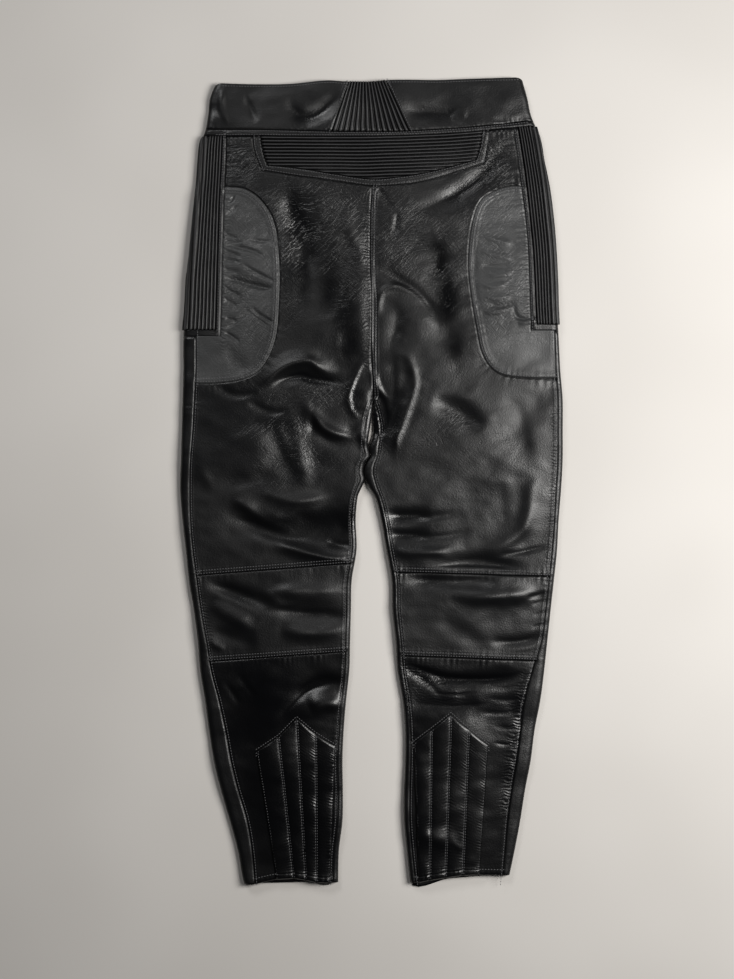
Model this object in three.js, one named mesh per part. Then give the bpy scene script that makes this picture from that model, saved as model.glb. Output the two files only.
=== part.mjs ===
import * as THREE from 'three';

// Motorcycle trousers of black leather, laid flat on their front with the back up.
// Millimetres. X runs across, Y towards the waist, Z up from the floor at z = 0.
// Left and right are as seen from above the back.

// Driving sizes
const LEATHER = 2.6;         // wall of every panel, leather with its backing and lining
const SEAM_GAP = 0.3;        // space between neighbouring panels and between layers
const LAY_HEIGHT = 9;        // top of the back where the trousers lie flat
const LEAST_HEIGHT = 5.8;    // the same where the two layers are pressed together
const CLAMP_SOFTNESS = 1;    // how gently a trough meets the least height
const UNDER_ROLL = 4;        // how far the underside rolls in from the side fold
const OUTER_ROLL = 9;        // how far the top rolls in from an outer side fold
const ROLL_SHARE = 0.8;      // most of an edge strip that the roll may take
const WRAP_UNDER = 12;       // how far side panels reach under the trousers
const BAND_UNDER = 15;       // how far the back waistband reaches under them
const FRONT_DROP = 10;       // how much lower the front waistband ends
const FLY_HALF = 14;         // half width of the fly placket
const FLY_ROWS = 6;          // rows of the front that the placket runs along
const RIB_RISE = 1.1;        // height of the ribs of the stretch panels
const CHANNEL_RISE = 1.0;    // height of the padded channels of a calf patch
const PATCH_WALL = 1.2;      // wall of a calf patch
const SIDE_RIBS = 11;
const YOKE_RIBS = 12;
const INSERT_RIBS = 14;

// Tables with named columns
const table = (names, rows) =>
  rows.map((row) => Object.fromEntries(names.map((name, i) => [name, row[i]])));

// Outline of the two sides, from the waist down to the hems
const SIDES = table(['y', 'left', 'right'], [
  [504, -190, 188], [496, -194, 190], [478, -201, 195], [459, -203, 199],
  [441, -206, 206], [422, -212, 211], [403, -214, 214], [366, -217, 221],
  [328, -221, 226], [291, -225, 229], [253, -229, 231], [216, -231, 232],
  [178, -234, 234], [141, -234, 236], [103, -235, 239], [66, -236, 239],
  [28, -237, 239], [-9, -238, 237], [-47, -235, 234], [-84, -231, 232],
  [-122, -227, 228], [-159, -221, 224], [-197, -216, 220], [-234, -213, 216],
  [-272, -207, 211], [-309, -202, 204], [-347, -196, 199], [-384, -187, 192],
  [-422, -176, 186], [-459, -166, 179], [-497, -159, 171], [-506, -154, 169],
]);

// Outseams, which lie on the top, a little in from the sides
const OUTSEAMS = table(['y', 'left', 'right'], [
  [190, -218, 228], [141, -218, 230], [103, -220, 232], [66, -222, 232],
  [28, -225, 232], [-9, -226, 230], [-47, -225, 228], [-84, -222, 225],
  [-122, -217, 221], [-159, -212, 217], [-197, -205, 212], [-234, -199, 201],
  [-272, -189, 190], [-309, -181, 186], [-347, -174, 181], [-384, -165, 175],
  [-422, -154, 170], [-459, -148, 167], [-506, -144, 163],
]);

// Inner edges of the legs, with the inseams on the top beside them
const INNER = table(['y', 'leftSeam', 'leftEdge', 'rightEdge', 'rightSeam'], [
  [103, -5, 1, 5.5, 12], [85, -7, -1, 5, 20], [66, -8, -1.5, 4.5, 20],
  [47, -9, -2, 1.5, 10], [28, -10, -3.5, 1, 8], [-9, -20, -14, 6, 12],
  [-47, -25, -19, 12.5, 19], [-84, -24, -18, 19, 25], [-122, -30, -24, 25.5, 32],
  [-159, -31, -25, 26.5, 33], [-197, -32, -26, 30.5, 37], [-234, -33, -27, 33, 40],
  [-272, -37, -31, 39.5, 46], [-309, -40, -34, 42.5, 49], [-347, -42, -35.5, 42.5, 49],
  [-384, -41, -35, 41, 48], [-422, -42, -35.5, 41, 48], [-459, -46, -40, 44.5, 51],
  [-506, -48, -41, 49.5, 56],
]);

// Waist, across the trousers: top edge, and the two lines of the waist seam strip
const WAIST = table(['x', 'top', 'stripTop', 'stripLow'], [
  [-212, 496.5, 439.5, 431], [-150, 495.6, 439, 431], [-100, 496, 438, 430.5],
  [-55, 500, 437, 430.5], [-30, 498.5, 436.5, 430.5], [0, 498.5, 436.5, 430.5],
  [20, 500.5, 436.5, 431], [50, 501, 437.5, 432], [85, 500.5, 439.5, 433.5],
  [125, 502, 442, 436], [165, 503, 446, 440], [190, 503.5, 449, 442.5],
  [215, 503.5, 452, 444],
]);

// Centre back seam, from the yoke down to the crotch
const CENTRE = table(['y', 'x'], [
  [369, 1], [330, -1], [265, -1], [228, 1], [153, 1], [107, 3],
]);

// Binding strip beside each side stretch panel
const BINDING = table(['y', 'leftOuter', 'leftInner', 'rightInner', 'rightOuter'], [
  [445, -184, -179.5, 176.5, 182], [403, -186, -181, 182.5, 189],
  [369, -187.5, -182, 187, 193.5], [328, -189, -183.5, 192.5, 198],
  [291, -190, -184.5, 195.5, 201.5], [253, -191, -185.5, 197, 203.5],
  [216, -192, -186.5, 198, 205], [182, -193, -187.5, 199.5, 207],
]);

// Curved seam between hip panel and seat, from the binding round to the outseam
const HIP_CURVES = {
  left: [[-182, 368], [-157, 365], [-136, 350], [-120, 322], [-114, 278], [-114, 228],
    [-119, 178], [-136, 142], [-160, 128], [-190, 123.5], [-218.7, 123]],
  right: [[187, 369], [170, 368], [152, 362], [135, 349], [125, 320], [121, 280],
    [123, 243], [130, 197], [139, 158], [158, 136], [190, 130], [230.4, 129.5]],
};

// Yoke frame, its outer and its inner line, from the left end to the right end
const YOKE_OUTER = {
  leftEnd: [[-147.5, 430.6], [-145, 412], [-136, 388]],
  foot: [[-136, 388], [-89, 380.6], [-39, 374.4], [1, 369], [36, 370.6], [74, 377], [141, 398]],
  rightEnd: [[141, 398], [144.5, 417], [147.5, 438]],
};
const YOKE_INNER = {
  leftEnd: [[-137.5, 430.6], [-134, 411], [-129, 395]],
  foot: [[-129, 395], [-89, 390.6], [-39, 383], [1, 378], [36, 380.6], [74, 387], [131, 402]],
  rightEnd: [[131, 402], [136, 420], [138.5, 437.2]],
};

// Height at which the sides meet the waist seam
const WAIST_Y = 435;

// Slanted ends of the waistband's stretch insert, at its top and at the waist seam strip
const INSERT = { topLeft: -27.5, topRight: 18, lowLeft: -49, lowRight: 48 };

// Rows of each leg where a seam crosses it: y at the outseam and at the inseam
const LEG_ROWS = {
  left: {
    crotch: { out: 103, in: 107 }, fork: { out: 99, in: 103 }, kneeTop: { out: -116, in: -101 },
    kneeLow: { out: -223, in: -211 },
  },
  right: {
    crotch: { out: 103, in: 107 }, fork: { out: 99, in: 103 }, kneeTop: { out: -117, in: -112 },
    kneeLow: { out: -222, in: -216 },
  },
};

// Calf lines: the outseam side, five channel lines of the patch and the inseam side,
// each where the patch's roof crosses it and where the hem does
const CALF_LINES = {
  left: table(['roofX', 'roofY', 'hemX', 'hemY'], [
    [null, -334, null, -500], [-142.5, -334, -117.5, -494], [-115, -315.6, -96, -493],
    [-92.5, -293, -81, -495], [-68.7, -313, -67.5, -498], [-44, -328, -51, -498.5],
    [null, -329, null, -498],
  ]),
  right: table(['roofX', 'roofY', 'hemX', 'hemY'], [
    [null, -330, null, -489], [146, -327, 135, -488.5], [121, -307, 114, -489],
    [99, -288, 92.5, -492], [75, -307, 73, -495], [53, -324, 59, -498],
    [null, -325, null, -498],
  ]),
};

// Where the ribs of the side stretch and its binding end, below the hip
const STRETCH_END = { left: 189.5, right: 196.5 };
const BINDING_END = { left: 182, right: 189.5 };

// Broad swells and hollows of the back as it lies
const SWELLS = table(['x', 'y', 'across', 'along', 'rise'], [
  [-164, 240, 45, 90, 3], [174, 240, 45, 90, 3.5], [-64, 190, 55, 75, 3],
  [61, 178, 55, 75, 3], [-151, 40, 60, 80, 3], [124, 53, 60, 80, 3.5],
  [-126, -150, 55, 45, 2], [136, -150, 55, 45, 2.5], [-115, -320, 40, 70, 1.5],
  [110, -320, 45, 70, 2.5], [-11, 113, 13, 32, -6], [12, 80, 9, 28, -6],
]);

// Largest folds: a ridge or a trough along a curve through three points. Wide and
// steep are its half widths on the two sides of the curve.
const FOLDS = table(
  ['fromX', 'fromY', 'viaX', 'viaY', 'toX', 'toY', 'wide', 'steep', 'rise'], [
    [1, 360, -1, 260, 2, 130, 8, 8, -1.5],
    [-1, 152, -26, 112, -9, 78, 10, 6, 2.5],
    [-57, 278, -16, 215, -24, 122, 15, 15, -2.5],
    [-110, 366, -86, 303, -74, 241, 10, 10, -2.5],
    [-141, 116, -92, 150, -47, 131, 11, 8, 3.5],
    [-124, 117, -89, 131, -32, 121, 8, 8, -3],
    [-186, 259, -151, 249, -120, 243, 8, 8, -2],
    [-95, 78, -89, 41, -81, -3, 10, 10, 4],
    [-126, 72, -109, 31, -91, -3, 8, 8, -3.5],
    [-82, 103, -60, 69, -24, 61, 10, 8, 3.5],
    [-186, -3, -157, 4, -129, 13, 9, 9, -3],
    [-136, -12, -101, -22, -61, -19, 9, 9, 3],
    [-170, -16, -141, -36, -104, -46, 10, 8, 3.5],
    [-101, -41, -64, -56, -24, -59, 16, 16, -3.5],
    [-164, -48, -126, -61, -89, -61, 9, 9, -2.5],
    [-120, -74, -70, -91, -22, -88, 10, 8, 3.5],
    [-207, -126, -164, -138, -120, -154, 9, 9, -2.5],
    [-201, -147, -174, -162, -145, -178, 9, 9, 2.5],
    [-126, -132, -76, -141, -29, -144, 14, 10, 3],
    [-104, -161, -66, -163, -31, -163, 9, 9, -3],
    [-114, -184, -70, -187, -29, -182, 11, 11, 2.5],
    [-89, -272, -70, -251, -33, -248, 10, 10, -3],
    [-79, -278, -57, -272, -35, -277, 10, 10, 3],
    [32, 334, 105, 357, 167, 422, 9, 9, -3],
    [5, 249, 51, 223, 88, 187, 11, 8, 3.5],
    [1, 266, 51, 243, 86, 203, 8, 8, -2.5],
    [84, 297, 107, 228, 121, 141, 13, 13, -2.5],
    [36, 157, 62, 105, 34, 34, 10, 8, 3.5],
    [40, 122, 28, 78, 24, 28, 8, 8, -3],
    [74, 103, 111, 88, 139, 63, 11, 11, -2],
    [196, 103, 187, 63, 174, 22, 11, 11, -2],
    [211, 16, 195, -50, 136, -84, 12, 12, 3],
    [16, -42, 42, -42, 76, -37, 9, 9, -3],
    [16, -64, 42, -66, 76, -61, 8, 8, -2.5],
    [26, -86, 61, -87, 101, -82, 9, 9, 2.5],
    [86, -103, 136, -98, 186, -107, 9, 9, -2.5],
    [36, -122, 99, -123, 161, -124, 9, 9, -2],
    [99, -139, 157, -141, 211, -137, 12, 10, 3],
    [86, -172, 114, -187, 139, -203, 11, 11, -2],
    [161, -197, 189, -197, 212, -187, 8, 8, -2.5],
    [40, -224, 99, -246, 196, -236, 9, 9, -3],
    [45, -272, 86, -276, 136, -272, 9, 9, -2],
    [56, -442, 84, -444, 109, -449, 11, 11, 2.5],
    [-101, 484, -82, 454, -36, 487, 9, 9, -2],
    [36, 463, 80, 459, 124, 457, 10, 10, -2],
  ],
);

// Reading a table as a smooth line, from one column to another
function line(rows, key, value) {
  const sorted = [...rows].sort((a, b) => a[key] - b[key]);
  const last = sorted.length - 1;
  const slope = (i) => {
    const before = sorted[Math.max(i - 1, 0)];
    const after = sorted[Math.min(i + 1, last)];
    return (after[value] - before[value]) / (after[key] - before[key]);
  };
  return (at) => {
    let i = 0;
    while (i < last - 1 && at > sorted[i + 1][key]) i += 1;
    const width = sorted[i + 1][key] - sorted[i][key];
    const t = THREE.MathUtils.clamp((at - sorted[i][key]) / width, 0, 1);
    const rise = sorted[i + 1][value] - sorted[i][value];
    const bendIn = (slope(i) * width - rise) * (1 - t);
    const bendOut = (rise - slope(i + 1) * width) * t;
    return sorted[i][value] + t * rise + t * (1 - t) * (bendIn + bendOut);
  };
}

const lerp = THREE.MathUtils.lerp;
const centreX = line(CENTRE, 'y', 'x');
const waistTop = line(WAIST, 'x', 'top');
const stripTop = line(WAIST, 'x', 'stripTop');
const stripLow = line(WAIST, 'x', 'stripLow');
const pick = (side, left, right) => (side === 'left' ? left : right);
const outseam = {
  left: line(OUTSEAMS, 'y', 'left'), right: line(OUTSEAMS, 'y', 'right'),
};
const inseam = {
  left: line(INNER, 'y', 'leftSeam'), right: line(INNER, 'y', 'rightSeam'),
};
const bindingOuter = {
  left: line(BINDING, 'y', 'leftOuter'), right: line(BINDING, 'y', 'rightOuter'),
};
const bindingInner = {
  left: line(BINDING, 'y', 'leftInner'), right: line(BINDING, 'y', 'rightInner'),
};

// Folded edges: the outline, and which way is inwards from it
const outerEdge = {
  left: { x: line(SIDES, 'y', 'left'), inward: 1 },
  right: { x: line(SIDES, 'y', 'right'), inward: -1 },
};
const innerEdge = {
  left: { x: line(INNER, 'y', 'leftEdge'), inward: -1 },
  right: { x: line(INNER, 'y', 'rightEdge'), inward: 1 },
};

// Height of the top of the back over the floor
const FOLD_STEPS = 8;
const foldPaths = FOLDS.map((fold) => new THREE.QuadraticBezierCurve(
  new THREE.Vector2(fold.fromX, fold.fromY),
  new THREE.Vector2(
    2 * fold.viaX - (fold.fromX + fold.toX) / 2,
    2 * fold.viaY - (fold.fromY + fold.toY) / 2,
  ),
  new THREE.Vector2(fold.toX, fold.toY),
).getPoints(FOLD_STEPS));

function foldHeight(fold, path, x, y) {
  let nearest = Infinity;
  let along = 0;
  let side = 1;
  for (let i = 0; i < FOLD_STEPS; i += 1) {
    const dx = path[i + 1].x - path[i].x;
    const dy = path[i + 1].y - path[i].y;
    const reach = ((x - path[i].x) * dx + (y - path[i].y) * dy) / (dx * dx + dy * dy);
    const t = THREE.MathUtils.clamp(reach, 0, 1);
    const offX = x - path[i].x - t * dx;
    const offY = y - path[i].y - t * dy;
    const distance = Math.hypot(offX, offY);
    if (distance < nearest) {
      nearest = distance;
      along = (i + t) / FOLD_STEPS;
      side = dx * offY - dy * offX;
    }
  }
  const width = side > 0 ? fold.wide : fold.steep;
  const fade = 1 - Math.abs(2 * along - 1) ** 3;
  return fold.rise * fade * Math.exp(-((nearest / width) ** 2));
}

function height(x, y) {
  let z = LAY_HEIGHT;
  for (const swell of SWELLS) {
    const across = (x - swell.x) / swell.across;
    const along = (y - swell.y) / swell.along;
    z += swell.rise * Math.exp(-across * across - along * along);
  }
  FOLDS.forEach((fold, i) => {
    z += foldHeight(fold, foldPaths[i], x, y);
  });
  const over = z - LEAST_HEIGHT;
  return LEAST_HEIGHT + (over + Math.hypot(over, CLAMP_SOFTNESS)) / 2;
}

// Points of the cloth: the outer face and the inner face under it
const skin = (outer, inner) => ({ outer, inner });

function onTop(x, y) {
  const z = height(x, y);
  return skin(new THREE.Vector3(x, y, z), new THREE.Vector3(x, y, z - LEATHER));
}

function onFloor(x, y) {
  return skin(new THREE.Vector3(x, y, 0), new THREE.Vector3(x, y, LEATHER));
}

// A point of a folded edge: turn is 90 at its top, 0 at the outline and -90 below.
function onFold(edge, y, turn, roll) {
  const angle = THREE.MathUtils.degToRad(turn);
  const shift = 1 - Math.cos(angle);
  const lift = Math.sin(angle);
  const x = edge.x(y);
  const reach = turn > 0 ? roll : UNDER_ROLL;
  const topZ = height(x + edge.inward * roll, y);
  const middle = topZ / 2;
  const inset = LEATHER + (reach - LEATHER) * shift;
  return skin(
    new THREE.Vector3(x + edge.inward * reach * shift, y, middle * (1 + lift)),
    new THREE.Vector3(x + edge.inward * inset, y, middle + (middle - LEATHER) * lift),
  );
}

// A strip round a folded edge, from a seam on the top to a line underneath
const FOLD_TURNS = [90, 45, 0, -45, -90];

function roundEdge(edge, y, seamX) {
  const reach = Math.abs(seamX - edge.x(y));
  const roll = Math.min(OUTER_ROLL, reach * ROLL_SHARE);
  return [onTop(seamX, y), ...FOLD_TURNS.map((turn) => onFold(edge, y, turn, roll))];
}

// One closed wall from grids of points that share their meeting lines
const SAME_PLACE = 1000;     // points that agree to 1/1000 mm are one

function wall(name, material, grids) {
  const nodes = [];
  const seen = new Map();
  const number = (point) => {
    const key = point.outer.toArray().map((v) => Math.round(v * SAME_PLACE)).join();
    if (!seen.has(key)) {
      seen.set(key, nodes.length);
      nodes.push({
        outer: point.outer.clone(), inner: point.inner.clone(), rise: point.rise ?? 0,
      });
    }
    return seen.get(key);
  };
  const faces = grids.flatMap((grid) => gridFaces(grid, number, nodes));
  const rim = rimEdges(faces);
  drawBack(nodes, rim);
  return closedMesh(name, material, nodes, faces, rim);
}

// Triangles of one grid, turned so that they face away from the inner face
function gridFaces(grid, number, nodes) {
  const faces = [];
  for (let i = 0; i < grid.length - 1; i += 1) {
    for (let j = 0; j < grid[i].length - 1; j += 1) {
      const [a, b] = [number(grid[i][j]), number(grid[i][j + 1])];
      const [d, c] = [number(grid[i + 1][j]), number(grid[i + 1][j + 1])];
      faces.push([a, b, c], [a, c, d]);
    }
  }
  const real = faces.filter(([a, b, c]) => a !== b && b !== c && c !== a);
  let facing = 0;
  for (const [a, b, c] of real) {
    const ab = nodes[b].outer.clone().sub(nodes[a].outer);
    const ac = nodes[c].outer.clone().sub(nodes[a].outer);
    facing += ab.cross(ac).dot(nodes[a].outer.clone().sub(nodes[a].inner));
  }
  return facing > 0 ? real : real.map(([a, b, c]) => [a, c, b]);
}

// Edges that only one triangle has
function rimEdges(faces) {
  const edges = new Map();
  for (const [a, b, c] of faces) {
    for (const [from, to] of [[a, b], [b, c], [c, a]]) {
      if (!edges.delete(`${to},${from}`)) edges.set(`${from},${to}`, [from, to]);
    }
  }
  return [...edges.values()];
}

// Draws the rim back by half a seam gap, along the surface
const SHARPEST_CORNER = 0.5;

function drawBack(nodes, rim) {
  const pulls = new Map();
  for (const [from, to] of rim) {
    const outward = nodes[from].outer.clone().sub(nodes[from].inner);
    const run = nodes[to].outer.clone().sub(nodes[from].outer);
    const inward = outward.cross(run).normalize();
    for (const end of [from, to]) {
      pulls.set(end, (pulls.get(end) ?? new THREE.Vector3()).add(inward));
    }
  }
  for (const [end, pull] of pulls) {
    const spread = Math.max(pull.length() / 2, SHARPEST_CORNER);
    const move = pull.normalize().multiplyScalar(SEAM_GAP / 2 / spread);
    nodes[end].outer.add(move);
    nodes[end].inner.add(move);
  }
}

function closedMesh(name, material, nodes, faces, rim) {
  const outers = nodes.map((node) => {
    const out = node.outer.clone().sub(node.inner).normalize();
    return node.outer.clone().addScaledVector(out, node.rise);
  });
  const places = [...outers, ...nodes.map((node) => node.inner)];
  const under = nodes.length;
  const index = faces.flatMap(([a, b, c]) => [a, b, c, under + a, under + c, under + b]);
  for (const [from, to] of rim) {
    index.push(to, from, under + from, to, under + from, under + to);
  }
  const geometry = new THREE.BufferGeometry();
  const numbers = places.flatMap((place) => place.toArray());
  geometry.setAttribute('position', new THREE.Float32BufferAttribute(numbers, 3));
  geometry.setIndex(index);
  geometry.computeVertexNormals();
  const mesh = new THREE.Mesh(geometry, material());
  mesh.name = name;
  return mesh;
}

// Materials
const leather = () => new THREE.MeshStandardMaterial({
  color: 0x17181a, roughness: 0.45, metalness: 0,
});
const paleLeather = () => new THREE.MeshStandardMaterial({
  color: 0x232426, roughness: 0.4, metalness: 0,
});
const stretch = () => new THREE.MeshStandardMaterial({
  color: 0x101113, roughness: 0.65, metalness: 0,
});

// Counting and spacing helpers
const steps = (count) => Array.from({ length: count + 1 }, (_, i) => i / count);

// Equally spaced points of a smooth curve through the given ones
function spaced(points, count) {
  const curve = new THREE.SplineCurve(points.map(([x, y]) => new THREE.Vector2(x, y)));
  return curve.getSpacedPoints(count).map((p) => [p.x, p.y]);
}

// A row of points on the top between two places
function topRow(from, to, count) {
  return steps(count).map((t) => onTop(lerp(from[0], to[0], t), lerp(from[1], to[1], t)));
}

// Side stretch panel: vertical ribs, from the binding round the side
const SIDE_ROWS = 7;

function sideStretch(side) {
  const edge = outerEdge[side];
  const columns = 2 * SIDE_RIBS;
  const grid = steps(SIDE_ROWS).map((down) => {
    const edgeY = lerp(stripLow(edge.x(WAIST_Y)), STRETCH_END[side], down);
    const innerY = lerp(stripLow(bindingOuter[side](WAIST_Y)), STRETCH_END[side], down);
    const reach = Math.abs(bindingOuter[side](innerY) - edge.x(edgeY));
    return steps(columns).map((across, j) => {
      const from = lerp(reach, -WRAP_UNDER, across);
      const y = lerp(edgeY, innerY, Math.max(from, 0) / reach);
      const point = sidePoint(edge, y, from);
      point.rise = j % 2 && from > 0 ? RIB_RISE : 0;
      return point;
    });
  });
  return wall(`side_stretch_${side}`, stretch, [grid]);
}

// A point by its distance from the outline, measured inwards on the top; below
// zero it is underneath.
function sidePoint(edge, y, from) {
  if (from >= OUTER_ROLL) return onTop(edge.x(y) + edge.inward * from, y);
  if (from >= 0) return onFold(edge, y, (90 * from) / OUTER_ROLL, OUTER_ROLL);
  if (from > -UNDER_ROLL) return onFold(edge, y, (90 * from) / UNDER_ROLL, OUTER_ROLL);
  return onFloor(edge.x(y) - edge.inward * from, y);
}

const UNDER_PLACES = [OUTER_ROLL, OUTER_ROLL / 2, 0, -UNDER_ROLL / 2, -UNDER_ROLL];

// Binding: a narrow strip down beside the stretch panel and across below it
const BINDING_ROWS_ABOVE_HIP = 3;
const HIP_ROWS_BESIDE = 8;
const HIP_ROWS_BELOW = 2;

function bindingNodes(side) {
  const top = stripLow(bindingInner[side](WAIST_Y));
  const hip = HIP_CURVES[side][0][1];
  const above = steps(BINDING_ROWS_ABOVE_HIP).map((t) => lerp(top, hip, t));
  const beside = steps(HIP_ROWS_BESIDE).map((t) => lerp(hip, BINDING_END[side], t));
  return [...above, ...beside.slice(1)].map((y) => [bindingInner[side](y), y]);
}

function binding(side) {
  const edge = outerEdge[side];
  const strip = bindingNodes(side).map(([x, y], i, all) => {
    const down = i / (all.length - 1);
    const outerTop = stripLow(bindingOuter[side](WAIST_Y));
    const outerY = lerp(outerTop, STRETCH_END[side], down);
    return [onTop(bindingOuter[side](outerY), outerY), onTop(x, y)];
  });
  const foot = [STRETCH_END[side], BINDING_END[side]].map((y, low) => {
    const reach = Math.abs(bindingOuter[side](STRETCH_END[side]) - edge.x(y));
    const flat = [1, 2 / 3, 1 / 3].map((t) => lerp(OUTER_ROLL, reach, t));
    const row = [...flat, ...UNDER_PLACES, -WRAP_UNDER].map((from) => sidePoint(edge, y, from));
    const corner = bindingInner[side](BINDING_END[side]);
    return low ? [onTop(corner, y), ...row.slice(1)] : row;
  });
  return wall(`side_binding_${side}`, leather, [strip, foot]);
}

// Hip panel: beside the binding, and below it out to the outseam
const HIP_COLUMNS = 4;
const HIP_BELOW_COLUMNS = 2;
const HIP_NODES = HIP_COLUMNS + HIP_ROWS_BESIDE + HIP_ROWS_BELOW + HIP_COLUMNS + HIP_BELOW_COLUMNS;

function hipCurve(side) {
  return spaced(HIP_CURVES[side], HIP_NODES);
}

// Outseam rows beside the foot of the hip panel
function hipSeamRows(side) {
  const seamEnd = HIP_CURVES[side].at(-1)[1];
  return steps(HIP_ROWS_BELOW).map((t) => lerp(BINDING_END[side], seamEnd, t));
}

function hipPanel(side) {
  const curve = hipCurve(side);
  const top = curve.slice(0, HIP_COLUMNS + 1);
  const far = curve.slice(HIP_COLUMNS, HIP_COLUMNS + HIP_ROWS_BESIDE + 1);
  const near = bindingNodes(side).slice(BINDING_ROWS_ABOVE_HIP);
  const foot = steps(HIP_COLUMNS).map((t) => [
    lerp(near.at(-1)[0], far.at(-1)[0], t), lerp(near.at(-1)[1], far.at(-1)[1], t)]);
  const beside = between(near, far, top, foot);
  const belowFar = curve.slice(HIP_COLUMNS + HIP_ROWS_BESIDE, -HIP_COLUMNS - HIP_BELOW_COLUMNS);
  const belowNear = hipSeamRows(side).map((y) => [outseam[side](y), y]);
  const ledge = steps(HIP_BELOW_COLUMNS).map((t) => [
    lerp(belowNear[0][0], near.at(-1)[0], t), BINDING_END[side]]);
  const belowTop = [...ledge, ...foot.slice(1)];
  const belowFoot = curve.slice(-HIP_COLUMNS - HIP_BELOW_COLUMNS - 1).reverse();
  belowFoot[0] = belowNear.at(-1);
  const below = between(belowNear, belowFar, belowTop, belowFoot);
  return wall(`hip_panel_${side}`, paleLeather, [beside, below]);
}

// A grid filled in between its four border lines
function between(near, far, top, foot) {
  const rows = near.length - 1;
  const columns = top.length - 1;
  return near.map((_, i) => top.map((__, j) => {
    const [u, v] = [j / columns, i / rows];
    const place = [0, 1].map((k) => {
      const across = lerp(near[i][k], far[i][k], u) + lerp(top[j][k], foot[j][k], v);
      const upper = lerp(top[0][k], top[columns][k], u);
      const lower = lerp(foot[0][k], foot[columns][k], u);
      return across - lerp(upper, lower, v);
    });
    return onTop(place[0], place[1]);
  }));
}

// Rows of a leg between two of its marked rows, each with both ends on the seams
function legRows(side, from, to, count) {
  const start = LEG_ROWS[side][from];
  const end = LEG_ROWS[side][to];
  return steps(count).map((t) => ({
    out: lerp(start.out, end.out, t), in: lerp(start.in, end.in, t),
  }));
}

const outPlace = (side, row) => [outseam[side](row.out), row.out];
const inPlace = (side, row) => [inseam[side](row.in), row.in];

// Seat and back thigh: one long panel from the waist seam to the seam above the knee
const THIGH_ROWS = 9;
const KNEE_ROWS = 4;
const SEAT_COLUMNS = 12;
const YOKE_END_ROWS = 3;
const YOKE_FOOT_ROWS = 7;
const CENTRE_ROWS = 14;
const ROW_CROWDING = 1.6;    // how much closer the rows lie towards the crotch

function yokeOuter(side) {
  const end = spaced(YOKE_OUTER[`${side}End`], YOKE_END_ROWS);
  const foot = spaced(YOKE_OUTER.foot, 2 * YOKE_FOOT_ROWS);
  if (side === 'left') return [...end, ...foot.slice(1, YOKE_FOOT_ROWS + 1)];
  return [...end.reverse(), ...foot.slice(YOKE_FOOT_ROWS, -1).reverse()];
}

function centreNodes() {
  const top = spaced(YOKE_OUTER.foot, 2 * YOKE_FOOT_ROWS)[YOKE_FOOT_ROWS];
  const low = LEG_ROWS.left.crotch.in;
  return steps(CENTRE_ROWS).map((t) => {
    const y = lerp(low, top[1], (1 - t) ** ROW_CROWDING);
    return t === 0 ? top : [centreX(y), y];
  });
}

function seat(side) {
  const strip = bindingNodes(side).slice(0, BINDING_ROWS_ABOVE_HIP);
  const crotch = LEG_ROWS[side].crotch;
  const curve = hipCurve(side);
  curve[curve.length - 1] = outPlace(side, { out: curve.at(-1)[1] });
  const outer = [...strip, ...curve, outPlace(side, crotch)];
  const inner = [...yokeOuter(side), ...centreNodes().slice(1)];
  const torso = outer.map((place, i) => topRow(place, inner[i], SEAT_COLUMNS));
  const thigh = legRows(side, 'fork', 'kneeTop', THIGH_ROWS)
    .map((row) => topRow(outPlace(side, row), inPlace(side, row), SEAT_COLUMNS));
  return wall(`seat_${side}`, leather, [[...torso, ...thigh]]);
}

// Back of the knee
const KNEE_COLUMNS = 10;

function kneeBand(side) {
  const grid = legRows(side, 'kneeTop', 'kneeLow', KNEE_ROWS)
    .map((row) => topRow(outPlace(side, row), inPlace(side, row), KNEE_COLUMNS));
  return wall(`knee_band_${side}`, leather, [grid]);
}

// Calf, with its patch: the patch's roof and channel lines are lines of the calf too
const CALF_ROWS = 4;
const ANKLE_ROWS = 6;
const CALF_SPLITS = [2, 2, 2, 2, 2, 1];
const PATCH_FROM = 2;
const PATCH_TO = 10;

// Lines of the calf at a height between the roof and the hem
function calfLine(side, down) {
  const lines = CALF_LINES[side];
  const marks = lines.map((mark) => [
    lerp(mark.roofX, mark.hemX, down), lerp(mark.roofY, mark.hemY, down)]);
  marks[0][0] = outseam[side](marks[0][1]);
  marks[lines.length - 1][0] = inseam[side](marks[lines.length - 1][1]);
  return marks;
}

function splitLine(marks) {
  const points = [marks[0]];
  CALF_SPLITS.forEach((parts, i) => {
    for (const t of steps(parts).slice(1)) {
      points.push([lerp(marks[i][0], marks[i + 1][0], t), lerp(marks[i][1], marks[i + 1][1], t)]);
    }
  });
  return points;
}

function calfGrid(side) {
  const roof = splitLine(calfLine(side, 0));
  const seam = LEG_ROWS[side].kneeLow;
  const [outer, inner] = [outPlace(side, seam), inPlace(side, seam)];
  const upper = steps(CALF_ROWS).slice(0, -1).map((down) => {
    const outY = lerp(seam.out, roof[0][1], down);
    const inY = lerp(seam.in, roof.at(-1)[1], down);
    return roof.map((place, j) => {
      const t = (place[0] - roof[0][0]) / (roof.at(-1)[0] - roof[0][0]);
      const start = [lerp(outer[0], inner[0], t), lerp(outer[1], inner[1], t)];
      if (j === 0) return onTop(outseam[side](outY), outY);
      if (j === roof.length - 1) return onTop(inseam[side](inY), inY);
      return onTop(lerp(start[0], place[0], down), lerp(start[1], place[1], down));
    });
  });
  const lower = steps(ANKLE_ROWS).map((down) =>
    splitLine(calfLine(side, down)).map(([x, y]) => onTop(x, y)));
  return { upper, lower };
}

function calf(side) {
  const { upper, lower } = calfGrid(side);
  return wall(`calf_${side}`, leather, [[...upper, ...lower]]);
}

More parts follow.
